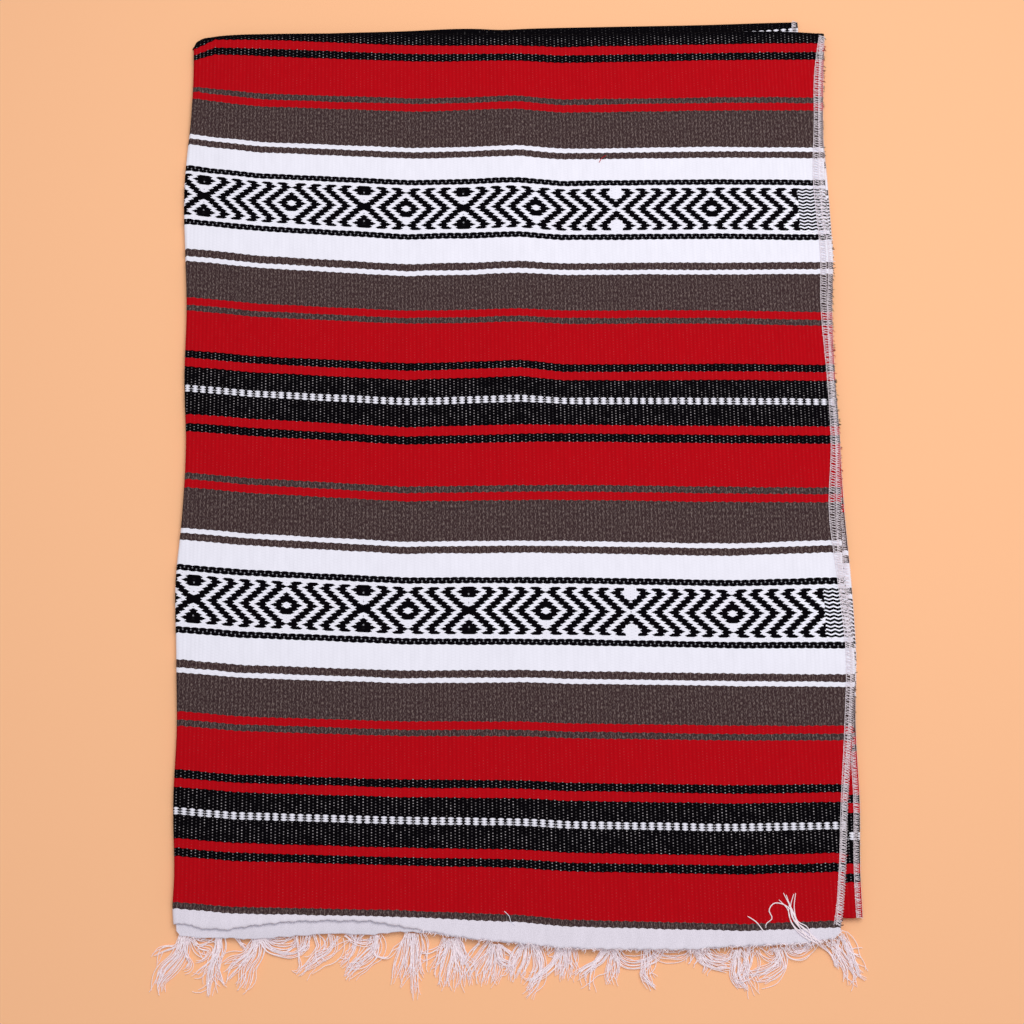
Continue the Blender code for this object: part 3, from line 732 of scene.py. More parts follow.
# The hidden quarters: the same cloth in three layers, which show at the right side, at the back fold along the
# top and as the lower heading at the left of the hem. They lie on each other and on the floor, held by nothing.
UNDER_STRIPES = 0.0112  # how much lower the stripes lie than on the front quarter
UNDER_HEADING = (-0.440, 0.30)  # the lower heading shows below and to the left of this place
BACK_FOLD_FROM = 0.585
UNDER_MIDDLE = 0.065
BACK_DOTS_AT = 0.5983  # where the back fold's dotted line is near its right end, and how it climbs to the right
BACK_DOTS_TILT = 0.075
Level = namedtuple("Level", "z layer left right top hem")
LEVELS = [
    Level(0.0000, "lower", LIP + 0.0014, 0.0010, 0.0020, 0.0024),
    Level(0.0004, "lower", LIP + 0.0008, 0.0004, 0.0010, 0.0019),
    Level(0.0007, "lower", LIP + 0.0006, 0.0002, 0.0008, 0.0017),
    Level(0.0018, "lower", LIP + 0.0006, 0.0002, 0.0001, 0.0017),
    Level(0.0024, "lower", LIP + 0.0006, 0.0012, 0.0000, 0.0027),
    Level(0.0028, "lower", LIP + 0.0006, 0.0012, 0.0000, 0.0027),
    Level(0.0029, "lower", 0.0049, 0.0009, 0.0001, 0.0024),
    Level(0.0034, "lower", 0.0034, 0.0000, 0.0003, 0.0015),
    Level(0.0043, "lower", 0.0030, 0.0000, 0.0010, 0.0015),
    Level(0.0048, "lower", 0.0030, 0.0012, 0.0024, 0.0020),
    Level(0.00485, "between", 0.0030, 0.0030, 0.0020, 0.0020),
    Level(0.0049, "upper", 0.0030, 0.0012, 0.0004, 0.0010),
    Level(0.0053, "upper", 0.0034, 0.0002, 0.0000, 0.0000),
    Level(0.0059, "upper", 0.0048, 0.0000, 0.0000, 0.0000),
    Level(0.0067, "upper", 0.0340, 0.0002, 0.0001, 0.0002),
    Level(0.0072, "upper", 0.0530, 0.0012, 0.0010, 0.0012),
]


def under_ring(level):
    """The hidden layers' outline at one level, with its thread counts."""
    def left(y):
        return smooth(SECTIONS, "y", "fold", y) + level.left

    def right(y):
        edges = {"lower": smooth(SECTIONS, "y", "lower_edge", y), "upper": smooth(SECTIONS, "y", "upper_edge", y)}
        return edges.get(level.layer, np.minimum(edges["lower"], edges["upper"])) - level.right

    def top(x):
        edges = {"lower": smooth(TOP_FOLDS, "x", "back", x), "upper": smooth(TOP_FOLDS, "x", "inner", x)}
        return edges.get(level.layer, np.minimum(edges["lower"], edges["upper"])) - level.top

    def hem(x):
        return straight(HEMS, "x", "under", x) + level.hem - uneven(x + 0.4)

    low_left, low_right = left(HEMS[0].under), right(HEMS[-1].under)
    bends = np.array([low_left] + [row.x for row in HEMS[1:-1]] + [low_right])
    bends[:-1] = np.maximum(bends[:-1], low_left + 0.0012 * np.arange(len(bends) - 1))
    hem_x = np.concatenate([np.linspace(a, b, 8)[:-1] for a, b in zip(bends, bends[1:])] + [[low_right]])
    high_left, high_right = left(TOP_FOLDS[1].inner), right(TOP_FOLDS[-1].front)
    right_y = np.linspace(hem(low_right), top(high_right), 120)[1:-1]
    top_x = np.linspace(high_right, high_left, 90)
    left_y = np.linspace(top(high_left), hem(low_left), 80)[1:-1]
    x = np.concatenate([hem_x, right(right_y), top_x, left(left_y)])
    y = np.concatenate([hem(hem_x), right_y, top(top_x), left_y])
    return x, y, np.full_like(x, level.z), ribs_at(x, y), under_repeat(x, y), (y > BACK_FOLD_FROM) * 1.0


def under_repeat(x, y):
    """The repeat on the hidden layers: lower than in front, heading at the hem, a dotted line at the back fold."""
    repeat = repeat_at(x, y + UNDER_STRIPES)
    low, right = UNDER_HEADING
    repeat = np.where((y < low) & (x < right), HEADING_START + 8 + 1000 * (low - y), repeat)
    back_line = BACK_DOTS_AT + BACK_DOTS_TILT * (x - 0.317)
    return np.where(y > BACK_FOLD_FROM, np.maximum(1000 * (back_line - y) - 2.0, -24.0), repeat)


def under_rings():
    """Every level's outline, then rings that close the upper face towards its middle."""
    rings = [under_ring(level) for level in LEVELS]
    x, y, z = rings[-1][:3]
    for share in (0.97, 0.90, 0.70, 0.35):
        inner_x, inner_y = share * x, UNDER_MIDDLE + share * (y - UNDER_MIDDLE)
        rings.append((inner_x, inner_y, z, ribs_at(inner_x, inner_y), under_repeat(inner_x, inner_y), 0.0 * z))
    return rings


under_cloth = lay_grid("under_cloth", under_rings(), closed=True)
under_cloth.data.materials.append(striped_cloth)
under_cloth.data.set_sharp_from_angle(angle=math.radians(50))
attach(under_cloth, "root")
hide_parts("under_quarters")


# The overlocked sides: white sewing thread, laced over the cut side of the cloth every 2 to 3 mm and locked along a
# needle line about 10 mm in. It is sewn on the front's right side and on the right sides of the layers under it.
STITCH_THREAD = 0.00033
NEEDLE_LEGS = 0.0068  # length across the cloth of the slanted legs beside the needle line
EDGE_LEGS = 0.0052
UNDER_LEGS = 0.0069
SIDE_POINTS = 260
SIDE_ENDS = (-0.4500, 0.5895)
UNDER_ENDS = (-0.4420, 0.5860)
BACK_ENDS = (0.5975, 0.6120)


def thread_finish(name, shade, light, streaks, painted_glow):
    """Spun thread, lighter on its fibres, with some of the cloth's colour between them and a faint painted glow that
    brightens it.
    """
    finish, shader, start = new_finish(name, 0.85, 0.15)
    place = start.node("ShaderNodeTexCoord", output="Object")
    spin = start.node("ShaderNodeTexNoise", inputs={"Vector": place, "Scale": 900.0, "Detail": 2.0})
    patch = start.node("ShaderNodeTexNoise", inputs={"Vector": place, "Scale": 160.0, "Detail": 1.0})
    near_cloth = start.node("ShaderNodeAttribute", {"attribute_name": "cloth_colour"}, output="Color")
    colour = ((spin - 0.3) * 2.0).tint(shade, light)
    colour = (patch * streaks).tint(colour, near_cloth)
    bump = start.node("ShaderNodeBump", inputs={"Strength": 0.3, "Distance": 0.0002, "Height": spin})
    colour.into(shader, "Base Color")
    # The emission is painted light: it lifts the thread where its own yarns shade it.
    colour.into(shader, "Emission Color")
    bump.into(shader, "Normal")
    shader.inputs["Emission Strength"].default_value = painted_glow
    return finish


def cloth_colour(repeat):
    """Colour of the stripe at a count of the even repeat."""
    if repeat > HEADING_START:
        return WHITE
    count = repeat % (2 * HALF_REPEAT)
    folded = min(count, 2 * HALF_REPEAT - count)
    kind = [name for position, name in STRIPES if position <= folded][-1]
    return {"black": BLACK, "red": RED, "brown": BROWN, "white": WHITE}[kind]


def edge_line(name, edge_column, inset, height, ends, lowered):
    """A line of points down a side of the cloth, carrying the colour of the cloth beside each."""
    y = np.linspace(*ends, SIDE_POINTS)
    x = smooth(SECTIONS, "y", edge_column, y) - inset
    z = height(x, y)
    mesh = bpy.data.meshes.new(name)
    places = np.stack([x + MIDDLE[0], y + MIDDLE[1], z], 1)
    mesh.from_pydata(places.tolist(), [(i, i + 1) for i in range(len(y) - 1)], [])
    colours = mesh.attributes.new("cloth_colour", "FLOAT_COLOR", "POINT")
    shades = [cloth_colour(value) for value in repeat_at(x, y + lowered)]
    colours.data.foreach_set("color", np.array(shades, dtype=np.float32).ravel())
    return put(name, mesh)


def stitch_tree():
    """Instances a short bent thread on every stitch hole, once out to the side and once back."""
    given = geometry_tree("overlock", ["Pitch", "Width", "Drop", "Thread", "Slant"], ["Seed"])
    width, drop, slant_by = given.also("Width"), given.also("Drop"), given.also("Slant")
    side = given.node("GeometryNodeMeshToCurve", inputs={0: given})
    holes = given.node("GeometryNodeResampleCurve", {"mode": "LENGTH"}, {"Curve": side, "Length": given.also("Pitch")})
    tangent = given.node("GeometryNodeInputTangent")
    turn = given.node("FunctionNodeAlignRotationToVector", {"axis": "Y", "pivot_axis": "Z"}, {"Vector": tangent})
    profile = given.node("GeometryNodeCurvePrimitiveCircle", inputs={"Resolution": 5, "Radius": given.also("Thread")})
    laces = given.node("GeometryNodeJoinGeometry")

    def at(x, y, z):
        return given.node("ShaderNodeCombineXYZ", inputs={0: x, 1: y, 2: z})

    moved = {"Geometry": side, "Offset": at(width * -1.0, 0.0, 0.0001)}
    needle_line = given.node("GeometryNodeSetPosition", inputs=moved)
    locked = given.node("GeometryNodeCurveToMesh", inputs={"Curve": needle_line, "Profile Curve": profile})
    locked.into(laces.socket.node, 0)
    for sign, lift in ((-0.3, 0.0), (1.0, 0.00025)):
        slant = slant_by * (0.5 * sign)
        inner = at(width * -1.0, slant, lift - 0.0002)
        over = at(width * -0.25, slant * -0.4, lift + 0.0012)
        outer = at(0.0004 + 2 * lift, slant * -1.0, drop * -1.0)
        bend = given.node("GeometryNodeCurveQuadraticBezier", inputs={0: 6, 1: inner, 2: over, 3: outer})
        swept = {"Curve": bend, "Profile Curve": profile, "Fill Caps": True}
        tube = given.node("GeometryNodeCurveToMesh", inputs=swept)
        wobble = {"Min": (-0.08, -0.05, -0.14), "Max": (0.08, 0.05, 0.14), "Seed": given.also("Seed")}
        chance = given.node("FunctionNodeRandomValue", {"data_type": "FLOAT_VECTOR"}, wobble)
        spun = given.node("FunctionNodeRotateRotation", inputs={"Rotation": turn, "Rotate By": chance})
        size = {2: 0.85, 3: 1.12, "Seed": given.also("Seed") + sign * 5}
        scale = given.node("FunctionNodeRandomValue", {"data_type": "FLOAT"}, size, 1)
        placed = {"Points": holes, "Instance": tube, "Rotation": spun, "Scale": scale}
        row = given.node("GeometryNodeInstanceOnPoints", inputs=placed)
        row.into(laces.socket.node, 0)
    return close_tree(laces, given.also("Finish"))


def front_top(x, y):
    """Height of the front quarter's upper face, inside its folds."""
    left = smooth(SECTIONS, "y", "fold", y)
    rise = np.clip((x - left - FOLD_RADIUS) / (FOLD_SLOPE - FOLD_RADIUS), 0.0, 1.0)
    return FOLD_HEIGHT + (TOP - FOLD_HEIGHT) * rise + relief(x, y) * rise


def on_front(x, y):
    return front_top(x, y) + SERGED_LIFT + 0.0001


def on_under(x, y):
    return np.full_like(x, 0.0073)


def on_back(x, y):
    return np.full_like(x, 0.0049)


overlock_tree = stitch_tree()
# The serging thread's faint glow is painted light.
serging_thread = thread_finish("serging_thread", yarn(222, 210, 220), yarn(255, 252, 255), 0.22, 0.05)
needle_stitches = edge_line("needle_stitches", "needle", -NEEDLE_LEGS, on_front, SIDE_ENDS, 0.0)
front_serging = edge_line("front_serging", "front_edge", 0.0, on_front, SIDE_ENDS, 0.0)
under_serging = edge_line("under_serging", "upper_edge", -0.0002, on_under, UNDER_ENDS, UNDER_STRIPES)
back_serging = edge_line("back_serging", "lower_edge", 0.0, on_back, BACK_ENDS, 0.0)
# Each row of stitches with its pitch, the length of its legs, how far they drop at the edge, their slant and a seed.
ROWS = [
    (needle_stitches, 0.0031, NEEDLE_LEGS, 0.0002, 0.0034, 3),
    (front_serging, 0.0024, EDGE_LEGS, 0.0022, 0.0026, 5),
    (under_serging, 0.0019, UNDER_LEGS, 0.0030, 0.0026, 8),
    (back_serging, 0.0019, UNDER_LEGS, 0.0030, 0.0026, 9),
]
for piece, pitch, legs, drop, slant, seed in ROWS:
    sizes = {"Pitch": pitch, "Width": legs, "Drop": drop, "Thread": STITCH_THREAD, "Slant": slant, "Seed": seed}
    grow(piece, overlock_tree, {**sizes, "Finish": serging_thread})
    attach(piece, "root")


# The fringe: the blanket's own cotton warps, left about 80 mm long past the heading. They have worked together
# into locks that lie on the floor, split at their tips, cross each other and here and there loop back to the hem.
# A lock has its count of yarns, its widths at the root, middle and tip, and its middle line, in millimetres.
YARN_RADIUS = 0.00042
FRINGE_TOP = 0.0062
YARNS_FOR_EACH = 1.3  # yarns drawn for each one counted in a lock
FUZZ_PITCH = 0.0009
FUZZ_FULL_FROM = 0.29  # left of here nearly half the frayed ends are missing
FUZZ_LONG_FROM = 0.315
Lock = namedtuple("Lock", "yarns root middle tip line looped", defaults=[False])
LOCKS = [
    Lock(3, 4, 3, 14, [(-352, -459), (-356, -471), (-370, -478), (-384, -487)]),
    Lock(8, 8, 5, 9, [(-351, -460), (-358, -481), (-371, -495), (-376, -508), (-378, -521)]),
    Lock(6, 6, 5, 8, [(-348, -462), (-349, -478), (-363, -499), (-373, -511), (-372, -524)]),
    Lock(4, 4, 5, 8, [(-346, -464), (-347, -481), (-342, -491), (-348, -496), (-352, -495)]),
    Lock(5, 10, 8, 8, [(-342, -462), (-334, -468), (-325, -465), (-317, -460)], True),
    Lock(5, 6, 9, 14, [(-342, -463), (-333, -473), (-322, -476), (-331, -487), (-338, -489)]),
    Lock(9, 7, 5, 6, [(-313, -460), (-311, -473), (-318, -487), (-321, -502), (-321, -526)]),
    Lock(5, 5, 5, 13, [(-314, -462), (-317, -487), (-325, -498), (-332, -506), (-343, -508)]),
    Lock(5, 5, 5, 11, [(-312, -462), (-315, -488), (-312, -502), (-307, -510), (-300, -517)]),
    Lock(8, 8, 6, 10, [(-271, -462), (-276, -476), (-287, -487), (-299, -498), (-306, -510)]),
    Lock(9, 9, 6, 8, [(-270, -462), (-274, -480), (-282, -495), (-284, -508), (-290, -519)]),
    Lock(3, 3, 2, 3, [(-297, -461), (-291, -468), (-285, -475), (-283, -480)]),
    Lock(5, 6, 5, 12, [(-274, -465), (-284, -482), (-299, -488), (-311, -496)]),
    Lock(7, 6, 5, 8, [(-268, -464), (-259, -476), (-246, -480), (-234, -481), (-224, -476), (-220, -461)], True),
    Lock(5, 5, 8, 6, [(-265, -463), (-254, -472), (-239, -473), (-231, -466), (-230, -460)], True),
    Lock(4, 4, 9, 6, [(-264, -462), (-252, -465), (-241, -463), (-232, -459)], True),
    Lock(1, 1, 1, 1, [(-230, -463), (-226, -483), (-228, -498), (-235, -499)]),
    Lock(10, 20, 9, 8, [(-189, -461), (-194, -475), (-209, -485), (-220, -495), (-226, -505)]),
    Lock(4, 10, 8, 6, [(-215, -459), (-218, -474), (-226, -479), (-228, -483)]),
    Lock(3, 8, 5, 7, [(-210, -459), (-203, -471), (-206, -483), (-202, -491)]),
    Lock(8, 14, 8, 9, [(-146, -461), (-145, -472), (-155, -484), (-169, -498), (-178, -508)]),
    Lock(6, 14, 9, 14, [(-166, -460), (-167, -475), (-175, -487), (-185, -492)]),
    Lock(5, 8, 6, 6, [(-177, -459), (-168, -466), (-152, -468), (-144, -461)], True),
    Lock(5, 6, 6, 10, [(-144, -462), (-146, -480), (-164, -492), (-179, -492)]),
    Lock(1, 1, 1, 1, [(-144, -463), (-146, -481), (-133, -485), (-122, -475), (-114, -462)], True),
    Lock(9, 10, 8, 10, [(-110, -458), (-115, -481), (-121, -501), (-124, -514)]),
    Lock(6, 8, 6, 8, [(-108, -459), (-109, -487), (-112, -508)]),
    Lock(6, 6, 4, 7, [(-104, -460), (-105, -488), (-104, -508), (-103, -529)]),
    Lock(5, 8, 5, 9, [(-105, -459), (-102, -480), (-99, -495), (-91, -507)]),
    Lock(2, 6, 4, 6, [(-95, -460), (-93, -471), (-95, -483), (-98, -494)]),
    Lock(9, 12, 8, 7, [(-62, -464), (-56, -475), (-54, -485), (-57, -490)]),
    Lock(8, 12, 9, 12, [(-68, -464), (-70, -478), (-75, -496), (-80, -513)]),
    Lock(7, 8, 9, 10, [(-64, -464), (-63, -481), (-68, -502), (-69, -520)]),
    Lock(5, 6, 7, 9, [(-62, -464), (-58, -487), (-57, -502), (-60, -518)]),
    Lock(6, 6, 5, 11, [(-59, -466), (-54, -487), (-46, -501), (-42, -513)]),
    Lock(2, 2, 3, 5, [(-66, -467), (-78, -475), (-88, -480), (-99, -479)]),
    Lock(3, 4, 3, 4, [(-71, -464), (-74, -478), (-81, -489), (-87, -495)]),
    Lock(2, 2, 2, 4, [(-35, -469), (-45, -478), (-50, -488), (-54, -496)]),
    Lock(7, 10, 7, 10, [(-23, -469), (-33, -480), (-41, -490), (-48, -502), (-46, -514)]),
    Lock(8, 10, 9, 10, [(-20, -470), (-24, -485), (-30, -498), (-33, -516)]),
    Lock(9, 10, 10, 12, [(-18, -470), (-19, -485), (-20, -498), (-21, -513)]),
    Lock(3, 2, 3, 3, [(-15, -470), (-7, -475), (0, -482), (-2, -490), (-13, -486), (-17, -475)], True),
    Lock(4, 3, 4, 10, [(-15, -471), (-11, -485), (-4, -491), (-15, -497)]),
    Lock(9, 10, 7, 9, [(16, -467), (8, -486), (2, -501), (0, -510)]),
    Lock(5, 8, 4, 7, [(12, -468), (1, -487), (-2, -504)]),
    Lock(5, 5, 4, 6, [(18, -469), (14, -490), (7, -505)]),
    Lock(9, 8, 6, 9, [(23, -468), (28, -483), (29, -495), (24, -507), (12, -524)]),
    Lock(5, 5, 5, 9, [(24, -470), (31, -490), (27, -502), (16, -506), (10, -503)]),
    Lock(8, 10, 6, 6, [(52, -470), (48, -486), (37, -498), (26, -505), (16, -517)]),
    Lock(6, 8, 6, 8, [(55, -471), (54, -489), (48, -505)]),
    Lock(9, 10, 8, 10, [(58, -471), (58, -490), (55, -510)]),
    Lock(2, 4, 3, 5, [(61, -471), (64, -493), (69, -498)]),
    Lock(4, 8, 6, 9, [(48, -470), (42, -476), (37, -482)]),
    Lock(1, 1, 1, 1, [(66, -472), (68, -487), (70, -498)]),
    Lock(8, 12, 6, 9, [(101, -474), (95, -485), (80, -495), (69, -502), (64, -505)]),
    Lock(4, 5, 4, 9, [(99, -475), (87, -491), (76, -502), (79, -513)]),
    Lock(3, 4, 3, 4, [(101, -475), (86, -495), (83, -519)]),
    Lock(8, 8, 6, 10, [(109, -475), (107, -493), (104, -513)]),
    Lock(3, 3, 3, 6, [(109, -476), (112, -495), (110, -505)]),
    Lock(7, 7, 5, 6, [(110, -476), (117, -487), (127, -491), (140, -489), (151, -484), (157, -476)], True),
    Lock(6, 8, 6, 9, [(142, -475), (141, -493), (142, -504), (150, -517)]),
    Lock(4, 5, 4, 8, [(145, -476), (146, -490), (139, -499), (154, -517)]),
    Lock(5, 14, 10, 12, [(151, -475), (162, -479), (177, -480), (192, -475)], True),
    Lock(3, 10, 5, 7, [(192, -476), (191, -486), (188, -492)]),
    Lock(5, 8, 6, 6, [(195, -475), (200, -490), (212, -496), (234, -498)]),
    Lock(6, 8, 6, 8, [(199, -475), (211, -486), (224, -490), (237, -494)]),
    Lock(3, 3, 3, 5, [(198, -478), (207, -491), (203, -502)]),
    Lock(4, 8, 6, 6, [(207, -476), (218, -486), (229, -485), (236, -476)], True),
    Lock(10, 12, 9, 9, [(241, -475), (245, -490), (244, -503), (249, -517)]),
    Lock(7, 10, 8, 8, [(255, -475), (251, -491), (242, -503), (235, -501)]),
    Lock(6, 8, 6, 9, [(244, -476), (246, -501), (251, -511), (257, -524)]),
    Lock(4, 4, 4, 7, [(239, -476), (235, -503), (240, -512), (248, -517)]),
    Lock(8, 8, 7, 8, [(281, -474), (286, -483), (278, -495), (261, -501), (245, -503)]),
    Lock(5, 6, 5, 9, [(284, -474), (288, -494), (275, -504), (261, -511)]),
    Lock(4, 10, 7, 8, [(264, -474), (270, -479), (279, -483), (282, -474)], True),
    Lock(5, 5, 4, 6, [(292, -472), (296, -479), (306, -481), (316, -475), (323, -469)], True),
    Lock(5, 4, 4, 5, [(297, -470), (303, -476), (311, -475), (318, -469)], True),
    Lock(3, 5, 3, 5, [(328, -469), (340, -481), (346, -497)]),
    Lock(7, 12, 6, 12, [(338, -468), (350, -483), (361, -497), (372, -509)]),
    Lock(7, 8, 5, 9, [(351, -461), (358, -472), (362, -486), (369, -503), (376, -508)]),
    Lock(4, 5, 5, 6, [(351, -462), (349, -476), (358, -494), (354, -517)]),
    Lock(3, 4, 5, 12, [(354, -465), (359, -478), (373, -485)]),
    Lock(4, 5, 8, 9, [(344, -467), (349, -476), (346, -486), (346, -498)]),
]


def through(points, count):
    """Places spread evenly on a smooth curve through some points."""
    points = np.array(points, dtype=float)
    steps = np.concatenate([[0.0], np.cumsum(np.linalg.norm(np.diff(points, axis=0), axis=1))])
    return curve(steps, points, np.linspace(0.0, steps[-1], count))


def lock_yarns(lock, draw):
    """The middle line of every yarn in a lock, in metres from the photograph's middle."""
    line = through(lock.line, 20) / 1000
    ahead = np.gradient(line, axis=0)
    ahead /= np.linalg.norm(ahead, axis=1)[:, None]
    beside = np.stack([-ahead[:, 1], ahead[:, 0]], 1)
    share = np.linspace(0.0, 1.0, len(line))
    widths = np.interp(share, [0.0, 0.45, 1.0], np.array([lock.root, lock.middle, lock.tip]) / 1000)
    found = []
    yarns = round(lock.yarns * YARNS_FOR_EACH) + 2
    for k in range(yarns):
        stray = k >= yarns - 2
        place = (k + 0.5) / yarns - 0.5 + draw.uniform(-0.15, 0.15)
        cross = draw.uniform(-0.8, 0.8)
        drift = place + cross * np.sin(math.pi * share) + draw.uniform(-0.35, 0.35) * share
        curl = draw.uniform(0.0014, 0.0034) if stray else draw.uniform(0.0005, 0.0016)
        weave = curl * np.sin(share * draw.uniform(4, 11) + draw.uniform(0, 6.28))
        weave += 0.3 * curl * np.sin(share * draw.uniform(14, 24) + draw.uniform(0, 6.28))
        flat = line + beside * (drift * widths * (1.5 if stray else 1.0) + weave * share)[:, None]
        rest = YARN_RADIUS + 0.0001 + draw.uniform(0.0, 0.0026) * (0.4 + 0.6 * np.sin(math.pi * share))
        start = FRINGE_TOP - draw.uniform(0.0, 0.0030)
        fall = np.interp(share, [0.0, 0.10, 0.35], [1.0, 0.75, 0.0])
        if lock.looped:
            fall = np.maximum(fall, fall[::-1])
        height = rest + (start - rest) * fall * fall
        if not lock.looped:
            keep = 1.0 - draw.uniform(0.0, 0.22)
            trimmed = share * keep
            flat = np.stack([np.interp(trimmed, share, flat[:, axis]) for axis in (0, 1)], 1)
            height = np.interp(trimmed, share, height)
        found.append(np.column_stack([flat, np.maximum(height, YARN_RADIUS + 0.00005)]))
    return found


def hem_fuzz(draw):
    """Short frayed ends along the hem's cut edge."""
    found = []
    for x in np.arange(HEMS[0].x + 0.004, 0.3515, FUZZ_PITCH):
        x += draw.uniform(-0.6, 0.6) * FUZZ_PITCH
        if x < FUZZ_FULL_FROM and draw.random() < 0.45:
            continue
        if straight(HEMS, "x", "front", x) > straight(HEMS, "x", "under", x) + 0.003:
            continue
        y = float(straight(HEMS, "x", "front", x))
        lean = draw.uniform(-1.4, 1.4)
        length = draw.uniform(0.0015, 0.0055) * (1.6 if x > FUZZ_LONG_FROM else 1.0)
        share = np.linspace(-0.35, 1.0, 5)
        flat_x = x + length * (math.sin(lean) * share + draw.uniform(-0.2, 0.2) * share**2)
        flat_y = y + 0.0004 - length * math.cos(lean) * share
        z = draw.uniform(0.0070, 0.0102) - share**2 * draw.uniform(0.0005, 0.0030)
        found.append(np.column_stack([flat_x, flat_y, z]))
    return found


def yarn_mesh(name, paths, shades=()):
    """A mesh of loose lines, one for each yarn, with a cloth colour for each where that is given."""
    mesh = bpy.data.meshes.new(name)
    points, edges = [], []
    for path in paths:
        edges += [(len(points) + i, len(points) + i + 1) for i in range(len(path) - 1)]
        points += [(x + MIDDLE[0], y + MIDDLE[1], z) for x, y, z in path]
    mesh.from_pydata(points, edges, [])
    if shades:
        colours = mesh.attributes.new("cloth_colour", "FLOAT_COLOR", "POINT")
        each = np.repeat(np.array(shades, dtype=np.float32), [len(path) for path in paths], axis=0)
        colours.data.foreach_set("color", each.ravel())
    return put(name, mesh)


def yarn_tree():
    """Sweeps every line into a round yarn that thins towards its end."""
    given = geometry_tree("yarns", ["Radius"], ["Sides"])
    lines = given.node("GeometryNodeMeshToCurve", inputs={0: given})
    circle = {"Resolution": given.also("Sides"), "Radius": given.also("Radius")}
    profile = given.node("GeometryNodeCurvePrimitiveCircle", inputs=circle)
    along = given.node("GeometryNodeSplineParameter", output="Factor")
    thin = 1.0 - along**6 * 0.35
    tube = {"Curve": lines, "Profile Curve": profile, "Scale": thin, "Fill Caps": True}
    swept = given.node("GeometryNodeCurveToMesh", inputs=tube)
    return close_tree(swept, given.also("Finish"))


fringe_draw = random.Random(12)
fringe_paths = [path for lock in LOCKS for path in lock_yarns(lock, fringe_draw)]
fringe_yarns = yarn_mesh("fringe_yarns", fringe_paths + hem_fuzz(fringe_draw))
# The warp's warm pink tint is partly the cotton's own colour and partly painted light bounced from the floor; its faint
# glow is painted light too.
warp_yarn = thread_finish("warp_yarn", yarn(240, 224, 232), yarn(255, 251, 254), 0.0, 0.07)
yarns_swept = yarn_tree()
grow(fringe_yarns, yarns_swept, {"Radius": YARN_RADIUS, "Sides": 5, "Finish": warp_yarn})
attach(fringe_yarns, "root")
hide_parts("fringe")


# Frayed ends of the coloured weft that stick out past the serging, and two loose ends that lie on the cloth.
BITS = 420
BIT_RADIUS = 0.00038
LOOSE_WEFT = [(103.5, 425.5), (107.0, 431.0), (112.0, 434.5)]
LOOSE_WARP = [(-8.0, -436.0), (-3.0, -441.0), (-1.0, -447.0), (3.2, -450.1)]


def frayed_bit(draw):
    """A short end of weft at the front quarter's right edge, in the colour of the cloth beside it or, about four times
    in ten, in black.
    """
    y = draw.uniform(-0.452, 0.590)
    x = float(smooth(SECTIONS, "y", "front_edge", np.array([y]))[0])
    reach, slope = draw.uniform(0.0010, 0.0034), draw.uniform(-0.0022, 0.0022)
    z = draw.uniform(0.0045, 0.0108)
    path = [(x - 0.0012, y, z), (x + 0.4 * reach, y + 0.3 * slope, z + 0.0002), (x + reach, y + slope, z - 0.0008)]
    beside = cloth_colour(repeat_at(np.array([x]), np.array([y]))[0])
    return path, beside if draw.random() < 0.6 else BLACK


def on_cloth(line, lift):
    """A line of places laid on the front quarter."""
    flat = through(line, 12) / 1000
    return np.column_stack([flat, front_top(flat[:, 0], flat[:, 1]) + lift])


bit_draw = random.Random(5)
bits = [frayed_bit(bit_draw) for _ in range(BITS)]
bits += [(on_cloth(LOOSE_WEFT, BIT_RADIUS), RED), (on_cloth(LOOSE_WARP, BIT_RADIUS), WHITE)]
frayed_bits = yarn_mesh("frayed_bits", [path for path, _ in bits], [shade for _, shade in bits])
frayed_weft = thread_finish("frayed_weft", RED, RED, 4.0, 0.0)
grow(frayed_bits, yarns_swept, {"Radius": BIT_RADIUS, "Sides": 5, "Finish": frayed_weft})
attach(frayed_bits, "root")


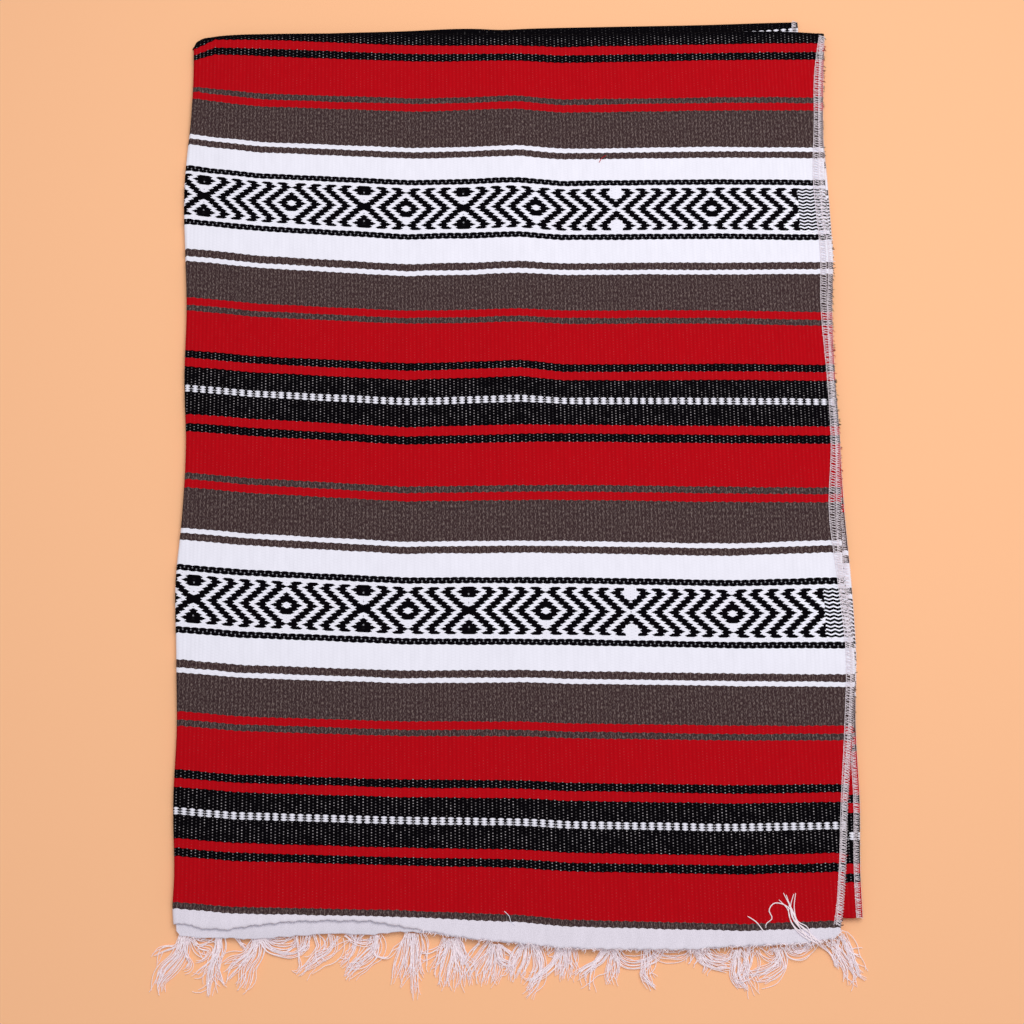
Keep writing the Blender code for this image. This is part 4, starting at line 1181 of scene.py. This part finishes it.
# The tuft near the right end of the hem: a lock of the same warps that is turned up over the heading, with one
# yarn that curls off it and another beside it. It only lies on the cloth.
TUFT_REST = 0.0006
TUFT_YARN = 0.00056
TUFT_LINES = [
    [(324, -468), (313, -455), (300, -444), (297, -432), (290, -417)],
    [(326, -470), (306, -459), (297, -447), (294, -434), (285, -424)],
    [(318, -466), (314, -452), (304, -446), (301, -434), (303, -417)],
    [(328, -469), (317, -459), (305, -449), (299, -437), (293, -419)],
    [(322, -468), (306, -453), (298, -441), (297, -432), (301, -418)],
    [(330, -468), (316, -462), (300, -451), (295, -440), (296, -427)],
    [(316, -467), (311, -460), (303, -447), (301, -440), (292, -421)],
    [(297, -434), (292, -430), (279, -428), (274, -435), (277, -443), (270, -450), (270, -453)],
    [(267, -456), (260, -447), (251, -441)],
]


def tuft_path(line):
    """A yarn of the tuft, laid over the heading."""
    flat = through(line, 18) / 1000
    z = front_top(flat[:, 0], flat[:, 1]) + YARN_RADIUS + TUFT_REST
    past_hem = flat[:, 1] < straight(HEMS, "x", "front", flat[:, 0])
    return np.column_stack([flat, np.where(past_hem, z - 0.0012, z)])


turned_tuft = yarn_mesh("turned_tuft", [tuft_path(line) for line in TUFT_LINES])
grow(turned_tuft, yarns_swept, {"Radius": TUFT_YARN, "Sides": 6, "Finish": warp_yarn})
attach(turned_tuft, "root")
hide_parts("turned_up_tuft")


# The floor is a plain pale surface, and a large soft light stands to the upper right of the cloth.
floor = put("floor", bpy.data.meshes.new("floor"))
floor.data.from_pydata([(-4, -4, 0), (4, -4, 0), (4, 4, 0), (-4, 4, 0)], [], [(0, 1, 2, 3)])
floor.location.z = -0.0002
paint, painted, _ = new_finish("pale_floor", 0.9, 0.1)
painted.inputs["Base Color"].default_value = yarn(255, 197, 150)
floor.data.materials.append(paint)

world = bpy.data.worlds.new("room")
world.use_nodes = True
world.node_tree.nodes["Background"].inputs["Color"].default_value = (0.97, 0.96, 1.0, 1.0)
world.node_tree.nodes["Background"].inputs["Strength"].default_value = 0.50
bpy.context.scene.world = world

# Some of the light is even; the rest comes from a panel above the right side, so it falls off to the lower left.
WINDOW_TURN = (math.radians(-34), math.radians(30), 0.0)
PANEL_AT = Vector((0.42, 0.5, 1.8))
LIGHT_COLOUR = (1.04, 0.97, 0.94)
window = put("window", bpy.data.lights.new("window", "SUN"))
window.data.angle = math.radians(36)
window.data.energy = 0.55
window.rotation_euler = WINDOW_TURN
panel = put("panel", bpy.data.lights.new("panel", "AREA"))
panel.data.shape = "DISK"
panel.data.size = 1.4
panel.data.energy = 16.0
panel.location = PANEL_AT
panel.rotation_euler = PANEL_AT.to_track_quat("Z", "Y").to_euler()
panel.visible_camera = False
for light in (window, panel):
    light.data.color = LIGHT_COLOUR

bpy.context.view_layer.update()
